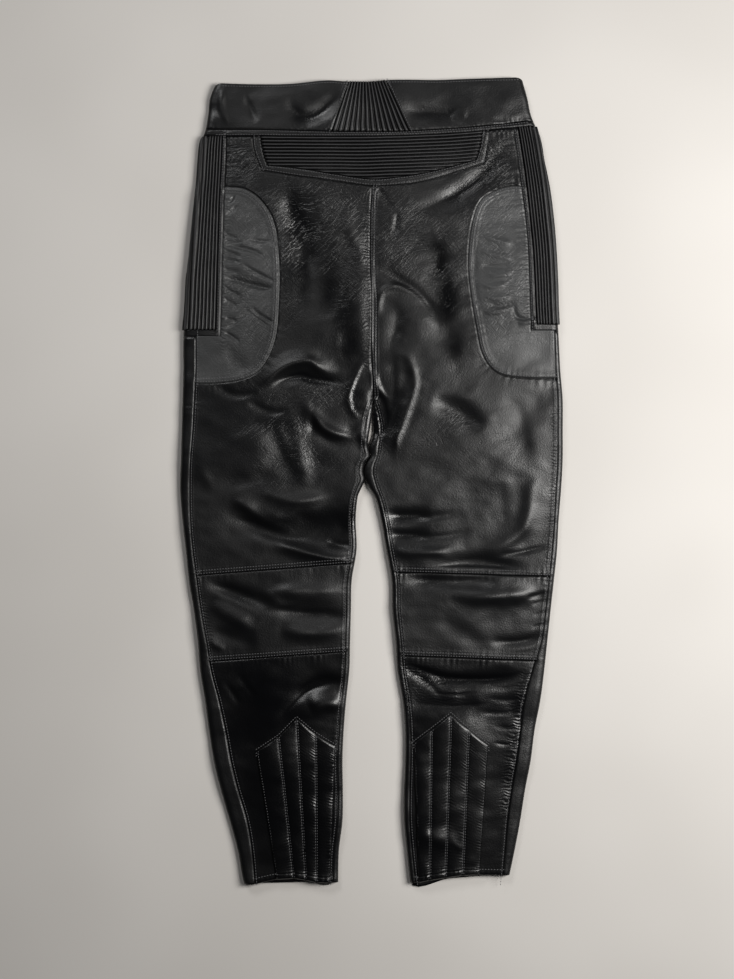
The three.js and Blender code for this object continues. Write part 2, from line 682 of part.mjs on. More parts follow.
function calfPatch(side) {
  const grid = calfGrid(side).lower.map((row) => row.slice(PATCH_FROM, PATCH_TO + 1)
    .map((point, j) => {
      const inner = point.outer.clone();
      inner.z += SEAM_GAP;
      const outer = inner.clone();
      outer.z += PATCH_WALL;
      return { outer, inner, rise: j % 2 ? CHANNEL_RISE : 0 };
    }));
  return wall(`calf_patch_${side}`, leather, [grid]);
}

// Yoke: a frame, and the stretch panel inside it with ribs across
function yokeFrame() {
  const [outer, inner] = [YOKE_OUTER, YOKE_INNER].map((lines) => [
    ...spaced(lines.leftEnd, YOKE_END_ROWS),
    ...spaced(lines.foot, 2 * YOKE_FOOT_ROWS).slice(1),
    ...spaced(lines.rightEnd, YOKE_END_ROWS).slice(1),
  ]);
  const grid = outer.map((place, i) => [onTop(...place), onTop(...inner[i])]);
  return wall('yoke_frame', leather, [grid]);
}

function yokeStretch() {
  const leftEnd = spaced(YOKE_INNER.leftEnd, YOKE_END_ROWS);
  const rightEnd = spaced(YOKE_INNER.rightEnd, YOKE_END_ROWS).reverse();
  const foot = spaced(YOKE_INNER.foot, 2 * YOKE_FOOT_ROWS);
  const rows = 2 * YOKE_RIBS;
  const endPlace = (end, t) => {
    const i = Math.min(Math.floor(t * YOKE_END_ROWS), YOKE_END_ROWS - 1);
    const part = t * YOKE_END_ROWS - i;
    return [lerp(end[i][0], end[i + 1][0], part), lerp(end[i][1], end[i + 1][1], part)];
  };
  const near = steps(rows).map((t) => endPlace(leftEnd, t));
  const far = steps(rows).map((t) => endPlace(rightEnd, t));
  const top = foot.map((_, j) => {
    const x = lerp(near[0][0], far[0][0], j / (foot.length - 1));
    return j % (foot.length - 1) ? [x, stripLow(x)] : (j ? far : near)[0];
  });
  const grid = between(near, far, top, foot);
  grid.forEach((row, i) => row.forEach((point) => {
    point.rise = i % 2 ? RIB_RISE : 0;
  }));
  return wall('yoke_stretch', stretch, [grid]);
}

// Waistband on the back: a panel on each side and the ribbed insert between them
const BAND_ROWS = 3;
const BAND_COLUMNS = 7;
const BAND_SIDE_HEIGHTS = { left: [496.5, 439.5], right: [503.5, 450] };

function insertEnd(side, down) {
  const top = pick(side, INSERT.topLeft, INSERT.topRight);
  const low = pick(side, INSERT.lowLeft, INSERT.lowRight);
  const x = lerp(top, low, down);
  return [x, lerp(waistTop(x), stripTop(x), down)];
}

function waistbandBack(side) {
  const edge = outerEdge[side];
  const [high, low] = BAND_SIDE_HEIGHTS[side];
  const grid = steps(BAND_ROWS).map((down) => {
    const y = lerp(high, low, down);
    const turned = [-BAND_UNDER, ...[...UNDER_PLACES].reverse()]
      .map((from) => sidePoint(edge, y, from));
    const start = edge.x(y) + edge.inward * OUTER_ROLL;
    const [endX, endY] = insertEnd(side, down);
    const flat = steps(BAND_COLUMNS).slice(1).map((t) => {
      const x = lerp(start, endX, t);
      return onTop(x, t === 1 ? endY : lerp(waistTop(x), stripTop(x), down));
    });
    return [...turned, ...flat];
  });
  return wall(`waistband_back_${side}`, leather, [grid]);
}

function waistbandStretch() {
  const grid = steps(BAND_ROWS).map((down) => {
    const [left, right] = [insertEnd('left', down), insertEnd('right', down)];
    return steps(2 * INSERT_RIBS).map((t, j) => {
      const x = lerp(left[0], right[0], t);
      const point = onTop(x, lerp(waistTop(x), stripTop(x), down));
      point.rise = j % 2 ? RIB_RISE : 0;
      return point;
    });
  });
  return wall('waistband_stretch', stretch, [grid]);
}

// Waist seam strip, from side to side under the waistband
const STRIP_COLUMNS = 20;
const STRIP_SIDE_HEIGHTS = { left: [439.5, 431], right: [450, 444] };

function waistStrip() {
  const rows = [0, 1].map((low) => {
    const [left, right] = ['left', 'right'].map((side) => {
      const edge = outerEdge[side];
      const y = STRIP_SIDE_HEIGHTS[side][low];
      const turned = [...UNDER_PLACES, -WRAP_UNDER].map((from) => sidePoint(edge, y, from));
      return { turned, start: edge.x(y) + edge.inward * OUTER_ROLL };
    });
    const edgeLine = low ? stripLow : stripTop;
    const flat = steps(STRIP_COLUMNS).slice(1, -1).map((t) => {
      const x = lerp(left.start, right.start, t);
      return onTop(x, edgeLine(x));
    });
    return [...left.turned.reverse(), ...flat, ...right.turned];
  });
  return wall('waist_strip', leather, [rows]);
}

// Underneath: the fronts, the front waistband and the fly placket, flat on the floor
const FRONT_COLUMNS = 3;

// Rows of the front above the crotch: y at the side and at the centre front
function frontTopRows(side) {
  const edge = outerEdge[side];
  const start = stripLow(edge.x(WAIST_Y));
  const beside = steps(SIDE_ROWS).map((t) => lerp(start, STRETCH_END[side], t));
  const seamRows = hipSeamRows(side);
  const outs = [...beside, ...seamRows];
  const last = LEG_ROWS[side].crotch.in;
  const first = stripLow(0);
  return outs.map((out, i) => ({
    out, in: lerp(first, last, i / outs.length), atWaist: i === 0,
  }));
}

const centreFront = (row, i, sign) => {
  const open = i <= FLY_ROWS ? FLY_HALF : 0;
  return [centreX(LEG_ROWS.left.crotch.in) + sign * open, row.in];
};

function frontFloorRow(side, row, innerX) {
  const edge = outerEdge[side];
  const start = edge.x(row.out) + edge.inward * WRAP_UNDER;
  return steps(FRONT_COLUMNS).map((t) => {
    const x = lerp(start, innerX, t);
    return onFloor(x, row.atWaist ? stripLow(x) : lerp(row.out, row.in, t));
  });
}

function front(side) {
  const sign = pick(side, -1, 1);
  const topRows = frontTopRows(side);
  const crotch = LEG_ROWS[side].crotch;
  const thigh = legRows(side, 'fork', 'kneeTop', THIGH_ROWS);
  const knee = legRows(side, 'kneeTop', 'kneeLow', KNEE_ROWS).slice(1);
  const roofEnds = CALF_LINES[side];
  const roof = { out: roofEnds[0].roofY, in: roofEnds.at(-1).roofY };
  const seam = LEG_ROWS[side].kneeLow;
  const hem = { out: roofEnds[0].hemY, in: roofEnds.at(-1).hemY };
  const rowsBetween = (start, end, count) => steps(count).slice(1).map((t) => ({
    out: lerp(start.out, end.out, t), in: lerp(start.in, end.in, t),
  }));
  const calfRows = [...rowsBetween(seam, roof, CALF_ROWS), ...rowsBetween(roof, hem, ANKLE_ROWS)];
  const legs = [...thigh, ...knee, ...calfRows];
  const inner = innerEdge[side];
  const floor = [
    ...topRows.map((row, i) => frontFloorRow(side, row, centreFront(row, i, sign)[0])),
    frontFloorRow(side, crotch, centreX(crotch.in)),
    ...legs.map((row) => frontFloorRow(side, row, inner.x(row.in) + inner.inward * UNDER_ROLL)),
  ];
  const outerRows = [...topRows.slice(SIDE_ROWS + 1), crotch, ...legs];
  const outerWrap = outerRows.map((row) => [
    ...roundEdge(outerEdge[side], row.out, outseam[side](row.out)),
    frontFloorRow(side, row, 0)[0],
  ]);
  const innerWrap = legs.map((row) => roundEdge(inner, row.in, inseam[side](row.in)));
  return wall(`front_${side}`, leather, [floor, outerWrap, innerWrap]);
}

function flyPlacket() {
  const rows = frontTopRows('left').slice(0, FLY_ROWS + 2);
  const grid = rows.map((row, i) => [-1, 0, 1].map((sign) => {
    const [x] = centreFront(row, i, sign);
    return onFloor(x, row.in);
  }));
  return wall('fly_placket', leather, [grid]);
}

function waistbandFront(side) {
  const edge = outerEdge[side];
  const [high, low] = BAND_SIDE_HEIGHTS[side];
  const centre = centreX(LEG_ROWS.left.crotch.in);
  const grid = [0, 1].map((down) => {
    const sideY = down ? STRIP_SIDE_HEIGHTS[side][1] : high - FRONT_DROP;
    const start = edge.x(lerp(high, low, down)) + edge.inward * (BAND_UNDER + SEAM_GAP);
    return steps(FRONT_COLUMNS).map((t) => {
      const x = lerp(start, centre, t);
      const y = down ? stripLow(x) : waistTop(x) - FRONT_DROP;
      return onFloor(x, t === 0 ? sideY : y);
    });
  });
  return wall(`waistband_front_${side}`, leather, [grid]);
}

// The whole garment
const trousers = new THREE.Group();
trousers.name = 'motorcycle_trousers';
for (const side of ['left', 'right']) {
  trousers.add(
    seat(side), hipPanel(side), sideStretch(side), binding(side), kneeBand(side),
    calf(side), calfPatch(side), front(side), waistbandBack(side), waistbandFront(side),
  );
}
trousers.add(yokeFrame(), yokeStretch(), waistbandStretch(), waistStrip(), flyPlacket());

export default trousers;
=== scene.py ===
import math

import bpy
import numpy as np
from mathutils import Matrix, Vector


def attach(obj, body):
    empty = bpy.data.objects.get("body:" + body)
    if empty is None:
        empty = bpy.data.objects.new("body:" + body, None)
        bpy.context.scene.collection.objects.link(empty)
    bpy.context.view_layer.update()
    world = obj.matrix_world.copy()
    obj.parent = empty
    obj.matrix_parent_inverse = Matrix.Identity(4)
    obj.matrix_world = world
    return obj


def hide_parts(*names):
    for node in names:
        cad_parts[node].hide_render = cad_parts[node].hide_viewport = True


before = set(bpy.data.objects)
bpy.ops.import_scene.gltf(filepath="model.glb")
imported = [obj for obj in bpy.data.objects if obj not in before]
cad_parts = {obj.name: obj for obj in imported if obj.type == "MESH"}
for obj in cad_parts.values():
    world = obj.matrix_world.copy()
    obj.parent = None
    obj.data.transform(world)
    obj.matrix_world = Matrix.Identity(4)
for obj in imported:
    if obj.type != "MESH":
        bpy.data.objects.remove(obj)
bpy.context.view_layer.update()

# Motorcycle trousers of black leather, laid flat with the back up.
# Sizes are in millimetres until a mesh is made. X runs across, Y towards the waist.
MM = 0.001
LEATHER = 2.6              # one wall: hide, backing and lining
SEAM_GAP = 0.3             # between two pieces at a seam
LAY_HEIGHT = 10.2          # of the flat back over the floor
LEAST_HEIGHT = 5.8         # of the deepest hollow
CLAMP_SOFTNESS = 1
UNDER_ROLL = 4             # reach of a folded edge underneath
OUTER_ROLL = 9             # and on the top
ROLL_SHARE = 0.8           # of the way to the seam, where that is nearer
WRAP_UNDER = 12            # how far a wrapped piece runs on underneath
BAND_UNDER = 15            # and the back waistband
FRONT_DROP = 10            # of the front waistband below the back one
FLY_HALF = 14              # half the width of the placket
PATCH_WALL = 1.2
CHANNEL_RISE = 1.6
RIB_RISE = 2.4
WAIST_Y = 435
SIDES_OF_BODY = ("left", "right")


def table(names, rows):
    return {name: np.array(column, float) for name, column in zip(names.split(), zip(*rows))}


# Outline of the two sides, from the waist down to the hems
SIDES = table("y left right", [
    (504, -190, 188), (496, -194, 190), (478, -201, 195), (459, -203, 199),
    (441, -206, 206), (422, -212, 211), (403, -214, 214), (366, -217, 221),
    (328, -221, 226), (291, -225, 229), (253, -229, 231), (216, -231, 232),
    (178, -234, 234), (141, -234, 236), (103, -235, 239), (66, -236, 239),
    (28, -237, 239), (-9, -238, 237), (-47, -235, 234), (-84, -231, 232),
    (-122, -227, 228), (-159, -221, 224), (-197, -216, 220), (-234, -213, 216),
    (-272, -207, 211), (-309, -202, 204), (-347, -196, 199), (-384, -187, 192),
    (-422, -176, 186), (-459, -166, 179), (-497, -159, 171), (-506, -154, 169),
])

# Outseams, which lie on the top, a little in from the sides
OUTSEAMS = table("y left right", [
    (190, -218, 228), (141, -218, 230), (103, -220, 232), (66, -222, 232),
    (28, -225, 232), (-9, -226, 230), (-47, -225, 228), (-84, -222, 225),
    (-122, -217, 221), (-159, -212, 217), (-197, -205, 212), (-234, -199, 201),
    (-272, -189, 190), (-309, -181, 186), (-347, -174, 181), (-384, -165, 175),
    (-422, -154, 170), (-459, -148, 167), (-506, -144, 163),
])

# Inner edges of the legs, with the inseams on the top beside them
INNER = table("y left_seam left_edge right_edge right_seam", [
    (103, 1.8, 2.5, 2.9, 3.6), (85, -5, 1.3, 2.1, 9), (66, -8, -1.5, 2.8, 12),
    (54, -9, -3.2, 1.6, 10.5), (44, -10, -3.6, -2.9, 9), (33, -8, -1.4, -0.7, 8),
    (24, -14, -7.2, -6.5, 4), (13, -16, -9.4, -8.7, 2), (4, -14, -7.6, -6.6, 4),
    (-9, -19, -13, -0.5, 8), (-18, -22, -16.5, 5.2, 12),
    (-47, -25, -19, 12.5, 19), (-84, -24, -18, 19, 25), (-122, -30, -24, 25.5, 32),
    (-159, -31, -25, 26.5, 33), (-197, -32, -26, 30.5, 37), (-234, -33, -27, 33, 40),
    (-272, -37, -31, 39.5, 46), (-309, -40, -34, 42.5, 49), (-347, -42, -35.5, 42.5, 49),
    (-384, -41, -35, 41, 48), (-422, -42, -35.5, 41, 48), (-459, -46, -40, 44.5, 51),
    (-506, -48, -41, 49.5, 56),
])

# Waist, across the trousers: top edge, and the two lines of the waist seam strip
WAIST = table("x top strip_top strip_low", [
    (-212, 496.5, 439.5, 431), (-150, 495.6, 439, 431), (-100, 496, 438, 430.5),
    (-55, 500, 437, 430.5), (-30, 498.5, 436.5, 430.5), (0, 498.5, 436.5, 430.5),
    (20, 500.5, 436.5, 431), (50, 501, 437.5, 432), (85, 500.5, 439.5, 433.5),
    (125, 502, 442, 436), (165, 503, 446, 440), (190, 503.5, 449, 442.5),
    (215, 503.5, 452, 444),
])

# Centre back seam, from the yoke down to the crotch
CENTRE = table("y x", [
    (369, 1), (330, -1), (265, -1), (228, 1), (153, 1), (107, 3),
])

# Binding strip beside each side stretch panel
BINDING = table("y left_outer left_inner right_inner right_outer", [
    (445, -184, -179.5, 176.5, 182), (403, -186, -181, 182.5, 189),
    (369, -187.5, -182, 187, 193.5), (328, -189, -183.5, 192.5, 198),
    (291, -190, -184.5, 195.5, 201.5), (253, -191, -185.5, 197, 203.5),
    (216, -192, -186.5, 198, 205), (182, -193, -187.5, 199.5, 207),
])

# Curved seam between hip panel and seat, from the binding round to the outseam
HIP_CURVES = {
    "left": [(-182, 368), (-157, 365), (-136, 350), (-120, 322), (-114, 278), (-114, 228),
             (-119, 178), (-136, 142), (-160, 128), (-190, 123.5), (-218.7, 123)],
    "right": [(187, 369), (170, 368), (152, 362), (135, 349), (125, 320), (121, 280),
              (123, 243), (130, 197), (139, 158), (158, 136), (190, 130), (230.4, 129.5)],
}

# Yoke frame, its outer and its inner line, from the left end to the right end
YOKE_OUTER = {
    "left_end": [(-147.5, 430.6), (-145, 412), (-136, 388)],
    "foot": [(-136, 388), (-89, 380.6), (-39, 374.4), (1, 369), (36, 370.6), (74, 377),
             (141, 398)],
    "right_end": [(141, 398), (144.5, 417), (147.5, 438)],
}
YOKE_INNER = {
    "left_end": [(-137.5, 430.6), (-134, 411), (-129, 395)],
    "foot": [(-129, 395), (-89, 390.6), (-39, 383), (1, 378), (36, 380.6), (74, 387),
             (131, 402)],
    "right_end": [(131, 402), (136, 420), (138.5, 437.2)],
}

# Slanted ends of the waistband's stretch insert, x at its top and at the waist seam strip,
# and the numbers of ribs
INSERT = {"left": (-27.5, -49), "right": (18, 48)}
RIBS = {"side": 11, "insert": 14}
YOKE_RIB_PITCH = 4.2

# Rows of each leg where a seam crosses it: y at the outseam and at the inseam
LEG_ROWS = {
    "left": {"crotch": (103, 107), "fork": (99, 103), "knee_top": (-116, -101),
             "knee_low": (-223, -211)},
    "right": {"crotch": (103, 107), "fork": (99, 103), "knee_top": (-117, -112),
              "knee_low": (-222, -216)},
}

# Calf lines: the outseam side, five channel lines of the patch and the inseam side,
# each as (x, y) at the patch's roof and (x, y) at the hem
CALF_LINES = {
    "left": [(0, -334, 0, -500), (-142.5, -334, -117.5, -494), (-115, -315.6, -96, -493),
             (-92.5, -293, -81, -495), (-68.7, -313, -67.5, -498), (-44, -328, -51, -498.5),
             (0, -329, 0, -498)],
    "right": [(0, -330, 0, -489), (146, -327, 135, -488.5), (121, -307, 114, -489),
              (99, -288, 92.5, -492), (75, -307, 73, -495), (53, -324, 59, -498),
              (0, -325, 0, -498)],
}
# Lower ends of the side stretch panel and of its binding
STRETCH_END = {"left": 189.5, "right": 196.5}
BINDING_END = {"left": 182, "right": 189.5}
# Upper and lower edge of the waistband and of the seam strip where they fold round the side
BAND_SIDE_HEIGHTS = {"left": (496.5, 439.5), "right": (503.5, 450)}
STRIP_SIDE_HEIGHTS = {"left": (439.5, 431), "right": (450, 444)}

# Broad swells and hollows of the back as it lies
SWELLS = table("x y across along rise", [
    (-164, 240, 45, 90, 3), (174, 240, 45, 90, 3.5), (-64, 190, 55, 75, 3),
    (61, 178, 55, 75, 3), (-151, 40, 60, 80, 3), (124, 53, 60, 80, 3.5),
    (-126, -150, 55, 45, 2), (136, -150, 55, 45, 2.5), (-115, -320, 40, 70, 1.5),
    (110, -320, 45, 70, 2.5), (-11, 113, 13, 32, -0.8), (12, 80, 9, 28, -6),
])

# Largest folds, each a ridge or a trough on a curve through three points: the x and y of the
# points, its half widths to the left and to the right of the curve, and its rise
FOLDS = [
    (1, 360, -1, 260, 2, 130, 8, 8, -1.5),
    (-57, 278, -30, 215, -34, 122, 15, 15, -0.3),
    (-110, 366, -86, 303, -74, 241, 10, 10, -2.5),
    (-141, 116, -92, 150, -47, 131, 11, 8, 3.5),
    (-124, 117, -89, 131, -32, 121, 8, 8, -3),
    (-186, 259, -151, 249, -120, 243, 8, 8, -2),
    (-97, 84, -89, 41, -77, -10, 9, 9, 1.7),
    (-130, 80, -109, 31, -87, -12, 7, 15, -1.9),
    (-82, 103, -60, 69, -24, 61, 10, 8, 3.5),
    (-192, -6, -157, 4, -118, 12, 9, 9, -1.5),
    (-142, -10, -101, -22, -55, -17, 9, 9, 1.2),
    (-174, -12, -141, -36, -96, -48, 10, 8, 2.2),
    (-101, -41, -64, -56, -24, -59, 16, 16, -3.5),
    (-182, -36, -126, -61, -70, -64, 9, 9, -1.2),
    (-120, -74, -70, -91, -22, -88, 10, 8, 3.5),
    (-207, -126, -164, -138, -120, -154, 9, 9, -2.5),
    (-201, -147, -174, -162, -145, -178, 9, 9, 2.5),
    (-126, -132, -76, -141, -29, -144, 14, 10, 3),
    (-124, -155, -66, -163, -25, -163, 9, 9, -1.8),
    (-114, -184, -70, -187, -29, -182, 11, 11, 2.5),
    (-95, -276, -70, -251, -26, -248, 10, 8, -1.6),
    (-79, -278, -57, -272, -35, -277, 10, 10, 3),
    (32, 334, 105, 357, 170, 428, 11, 12, -1.6),
    (34, 166, 62, 112, 34, 20, 9, 8, 0.6),
    (40, 132, 31, 78, 25, 16, 5, 9, -1),
    (74, 103, 111, 88, 139, 63, 11, 11, -2),
    (196, 108, 187, 63, 172, 16, 15, 15, -0.6),
    (211, 16, 195, -50, 136, -84, 12, 12, 1.3),
    (16, -42, 42, -42, 76, -37, 9, 9, -3),
    (16, -64, 42, -66, 76, -61, 8, 8, -2.5),
    (20, -86, 61, -88, 118, -80, 9, 9, 1.8),
    (86, -103, 136, -98, 186, -107, 9, 9, -2.5),
    (36, -122, 99, -123, 161, -124, 9, 9, -2),
    (99, -139, 157, -141, 211, -137, 12, 10, 3),
    (82, -168, 114, -187, 145, -206, 11, 11, -1),
    (146, -200, 189, -197, 214, -186, 8, 8, -1.5),
    (40, -224, 99, -246, 196, -236, 9, 9, -3),
    (45, -272, 86, -276, 136, -272, 9, 9, -2),
    (56, -442, 84, -444, 109, -449, 11, 11, 2.5),
    (-101, 484, -82, 454, -36, 487, 9, 9, -2),
    (36, 463, 80, 459, 124, 457, 10, 10, -2),
]

# Finer creases, each drawn one by one: rise, half width (or one to the left and one to the right)
# and the places it runs through
CREASES = [
    # Waistband
    (-1.6, 4, [(-158, 484), (-149, 463), (-141, 447)]),
    (-0.9, 6, [(-101, 484), (-99, 466), (-82, 456), (-64, 459), (-36, 487)]),
    (0.8, 6, [(-56, 446), (-45, 456), (-36, 468)]),
    (-1.5, 5, [(-194, 496), (-196, 472), (-191, 453)]),
    (1.3, 4, [(-184, 493), (-186, 472), (-182, 456), (-174, 443)]),
    (-0.8, 6, [(36, 463), (80, 461), (124, 456)]),
    (1.5, 6, [(99, 454), (110, 458), (121, 456)]),
    (-1.2, 5, [(149, 452), (174, 449), (199, 454)]),
    # Left seat
    (-1.4, (22, 16), [(-124, 393), (-106, 353), (-94, 313), (-85, 276), (-79, 238), (-66, 196)]),
    (-2.0, (24, 20), [(-91, 346), (-69, 296), (-52, 248), (-41, 196)]),
    (2.6, (3, 30), [(1, 291), (0, 228), (-1, 178), (-4, 128)]),
    (1.6, 8, [(-36, 347), (-24, 309), (-6, 268)]),
    (2.0, 5, [(-141, 116), (-126, 128), (-110, 141), (-92, 149), (-76, 151), (-64, 141),
              (-48, 131)]),
    (-2.0, 4, [(-124, 124), (-89, 133), (-70, 127), (-32, 124)]),
    (-1.6, 5, [(-195, 121), (-170, 109), (-139, 112)]),
    (-1.6, 5, [(-155, 101), (-126, 88), (-101, 91)]),
    (1.1, (2.2, 5), [(-1, 152), (-11, 146), (-20, 128), (-26, 112), (-27, 103), (-24, 91),
               (-16, 82), (-9, 78)]),
    (-5.5, (8, 6), [(4, 118), (6, 101), (9, 81), (2, 56)]),
    (2.6, (3, 6), [(-9, 78), (-12, 63), (-5, 46), (0, 34), (-8, 24), (-11, 8)]),
    # Left hip
    (-3.3, 1.8, [(-184, 296), (-166, 293), (-145, 287), (-131, 279)]),
    (-2.4, 1.5, [(-151, 302), (-135, 300), (-125, 301)]),
    (-2.4, 1.5, [(-184, 277), (-174, 276), (-162, 273)]),
    (-3.0, 1.6, [(-162, 272), (-145, 262), (-125, 252), (-119, 249)]),
    (-4.8, 2.0, [(-185, 254), (-166, 251), (-145, 246), (-120, 241)]),
    (-2.7, 1.5, [(-159, 249), (-141, 242), (-124, 241)]),
    (-2.4, 1.5, [(-182, 204), (-175, 203), (-166, 200)]),
    (-3.0, 1.6, [(-151, 219), (-138, 208), (-120, 198)]),
    (-2.1, 1.5, [(-159, 216), (-144, 206), (-126, 193)]),
    (-2.1, 1.5, [(-181, 191), (-164, 202), (-151, 212)]),
    (-3.0, 1.8, [(-182, 187), (-172, 181), (-162, 173)]),
    (-1.5, 9, [(-181, 172), (-169, 151), (-154, 133)]),
    (-2.4, 1.5, [(-184, 311), (-175, 306), (-165, 303)]),
    (-2.7, 1.5, [(-184, 303), (-174, 299), (-159, 298)]),
    (-2.4, 1.5, [(-184, 288), (-172, 284), (-160, 279)]),
    (-2.1, 1.5, [(-184, 266), (-176, 263), (-164, 262)]),
    (-2.4, 1.5, [(-184, 241), (-174, 237), (-161, 231)]),
    (-2.1, 1.5, [(-184, 227), (-175, 224), (-166, 218)]),
    (-2.1, 1.5, [(-182, 347), (-175, 349), (-169, 357)]),
    (-2.1, 1.5, [(-182, 332), (-174, 336), (-166, 344)]),
    # Right hip
    (1.5, 3.0, [(138, 308), (155, 301), (178, 296)]),
    (1.4, 3.0, [(135, 289), (155, 282), (179, 277)]),
    (1.4, 3.5, [(140, 263), (156, 258), (179, 263)]),
    (1.5, 3.0, [(135, 249), (149, 243), (171, 247)]),
    (1.5, 3.0, [(140, 232), (155, 228), (176, 233)]),
    (1.5, 3.0, [(138, 213), (155, 211), (172, 218)]),
    (-1.5, 2.5, [(144, 222), (161, 219), (181, 224)]),
    (-1.7, 2.5, [(136, 271), (156, 268), (176, 271)]),
    (-2.0, 2.5, [(176, 223), (181, 206), (199, 201)]),
    (2.0, 4.0, [(182, 196), (196, 199), (212, 201)]),
    (-1.4, 3.0, [(129, 303), (129, 253), (136, 203)]),
    # Left thigh
    (-0.4, (12, 9), [(-89, 91), (-94, 38), (-76, -14)]),
    (-1.8, 5, [(-76, 103), (-72, 78), (-75, 53)]),
    (2.0, 4.5, [(-86, 108), (-70, 84), (-60, 69), (-46, 61), (-26, 57), (-9, 58)]),
    (-1.8, 6, [(-79, 88), (-66, 63), (-45, 49), (-24, 48)]),
    (-0.8, 9, [(-208, -12), (-170, -2), (-136, 4), (-99, 6)]),
    (0.8, 7, [(-216, 26), (-205, 6), (-194, -14)]),
    (1.3, 5, [(-144, -9), (-114, -19), (-89, -23), (-61, -19), (-44, -12)]),
    (1.8, 6, [(-176, -17), (-156, -31), (-136, -46), (-109, -59), (-84, -67)]),
    (-3.6, (26, 8), [(-174, -37), (-120, -64), (-66, -74), (1, -72)]),
    (-1.0, 8, [(-191, -34), (-151, -52), (-114, -61), (-71, -63)]),
    (1.2, 8, [(-164, -72), (-101, -78), (-32, -72)]),
    (2.0, 4, [(-114, -78), (-76, -88), (-51, -94), (-26, -94), (-19, -84)]),
    (-1.6, 4, [(-56, -73), (-39, -78), (-24, -78)]),
    # Left knee
    (-1.3, 8, [(-214, -122), (-164, -138), (-114, -159)]),
    (1.0, 5, [(-211, -129), (-170, -147), (-136, -164)]),
    (0.8, 6, [(-204, -151), (-170, -172), (-136, -187)]),
    (1.7, 7, [(-144, -139), (-89, -134), (-26, -137)]),
    (0.7, 5, [(-136, -132), (-108, -152), (-79, -147)]),
    (-1.4, 6, [(-139, -154), (-95, -162), (-29, -164)]),
    (1.8, 7, [(-114, -184), (-70, -187), (-26, -182)]),
    (-2.0, 9, [(-204, -182), (-174, -192), (-141, -202)]),
    (1.2, 4, [(-201, -197), (-191, -203), (-181, -207)]),
    # Left calf
    (-1.7, (8, 5), [(-119, -297), (-101, -278), (-85, -263), (-68, -253), (-48, -248),
                    (-24, -251)]),
    (1.9, 10, [(-101, -302), (-74, -283), (-45, -277), (-21, -287)]),
    (-0.9, 3, [(-182, -247), (-172, -262), (-162, -278)]),
    (-0.8, 3, [(-166, -237), (-154, -254), (-141, -269)]),
    (0.5, 4, [(-48, -439), (-50, -456), (-51, -472)]),
    # Right seat
    (-0.9, (7, 6), [(32, 332), (61, 341), (86, 351), (118, 366), (136, 378), (149, 391),
               (160, 409), (171, 428)]),
    (-1.6, 3, [(34, 338), (31, 321), (28, 303)]),
    (-1.4, 3, [(5, 369), (18, 353), (30, 334)]),
    (2.2, (3, 4), [(9, 201), (10, 224), (14, 237), (24, 243), (36, 244), (50, 237), (64, 224),
               (79, 202)]),
    (-2.4, (8, 6), [(-6, 271), (24, 258), (52, 238), (74, 214), (89, 186)]),
    (-2.3, (15, 24), [(66, 321), (82, 276), (89, 236), (91, 197), (98, 168), (119, 143)]),
    (-1.0, 10, [(24, 233), (31, 203), (24, 166)]),
    (-0.8, 6, [(36, 221), (32, 191), (21, 158)]),
    # Right thigh
    (1.6, (3, 5), [(2, 141), (7, 124), (13, 113), (20, 102)]),
    (0.4, 3, [(35, 108), (26, 89), (20, 64), (4, 41)]),
    (2.1, (5, 6), [(25, 151), (32, 158), (44, 157), (51, 143), (54, 123), (49, 101), (39, 73),
               (30, 49), (29, 18)]),
    (-0.8, (5, 9), [(25, 171), (28, 128), (25, 88), (16, 46)]),
    (-1.8, 12, [(74, 103), (111, 88), (139, 63)]),
    (-1.0, (8, 14), [(176, 108), (189, 66), (194, 16)]),
    (-0.9, (8, 22), [(158, 11), (162, -28), (165, -64)]),
    (0.6, 3, [(34, 66), (32, 53), (32, 41)]),
    (1.6, (7, 8), [(211, 16), (199, -9), (196, -34), (189, -59), (168, -76), (136, -84)]),
    (-1.7, (6, 4), [(12, -37), (46, -42), (80, -43), (119, -37)]),
    (-1.5, (5, 4), [(16, -62), (49, -66), (86, -68), (136, -59)]),
    (-0.8, 3, [(36, -72), (68, -76), (105, -78)]),
    (1.8, 5, [(24, -87), (61, -86), (99, -88)]),
    (-1.6, (10, 3), [(61, -104), (124, -102), (199, -107)]),
    (-1.5, 3, [(155, -91), (186, -87), (224, -78)]),
    # Right knee
    (-1.8, 8, [(36, -119), (99, -124), (161, -122)]),
    (1.4, 8, [(74, -137), (149, -142), (221, -134)]),
    (-1.4, 3, [(192, -143), (205, -141), (218, -138)]),
    (-1.0, 4, [(144, -197), (186, -198), (215, -188)]),
    (0.7, 4, [(161, -207), (192, -206), (215, -198)]),
    (-0.6, 10, [(68, -162), (111, -187), (151, -204)]),
    (-0.8, 2, [(199, -152), (210, -149), (221, -148)]),
    (-0.8, 2, [(201, -166), (212, -163), (224, -161)]),
    (-0.8, 2, [(199, -181), (210, -178), (221, -176)]),
    # Right calf
    (-1.8, 3, [(36, -222), (74, -237), (99, -244), (161, -244), (199, -234)]),
    (-0.8, 3, [(39, -227), (61, -244), (74, -253), (91, -269)]),
    (0.5, 5, [(64, -234), (76, -244), (91, -259)]),
    (-1.2, 3, [(36, -262), (42, -268), (46, -277)]),
    (-0.8, 2, [(139, -252), (168, -256), (199, -249)]),
    (-0.7, 2, [(144, -268), (171, -271), (196, -266)]),
    (-0.8, 2, [(136, -286), (168, -287), (194, -282)]),
    (-0.6, 2, [(149, -302), (174, -306), (192, -302)]),
    (-0.7, 2, [(151, -323), (171, -326), (191, -319)]),
    (-0.7, 2, [(55, -276), (99, -279), (149, -274)]),
    (-0.8, 2, [(74, -262), (111, -264), (134, -259)]),
    (0.6, (4, 12), [(41, -447), (71, -438), (105, -429)]),
    (0.5, 4, [(99, -444), (106, -451), (114, -457)]),
]


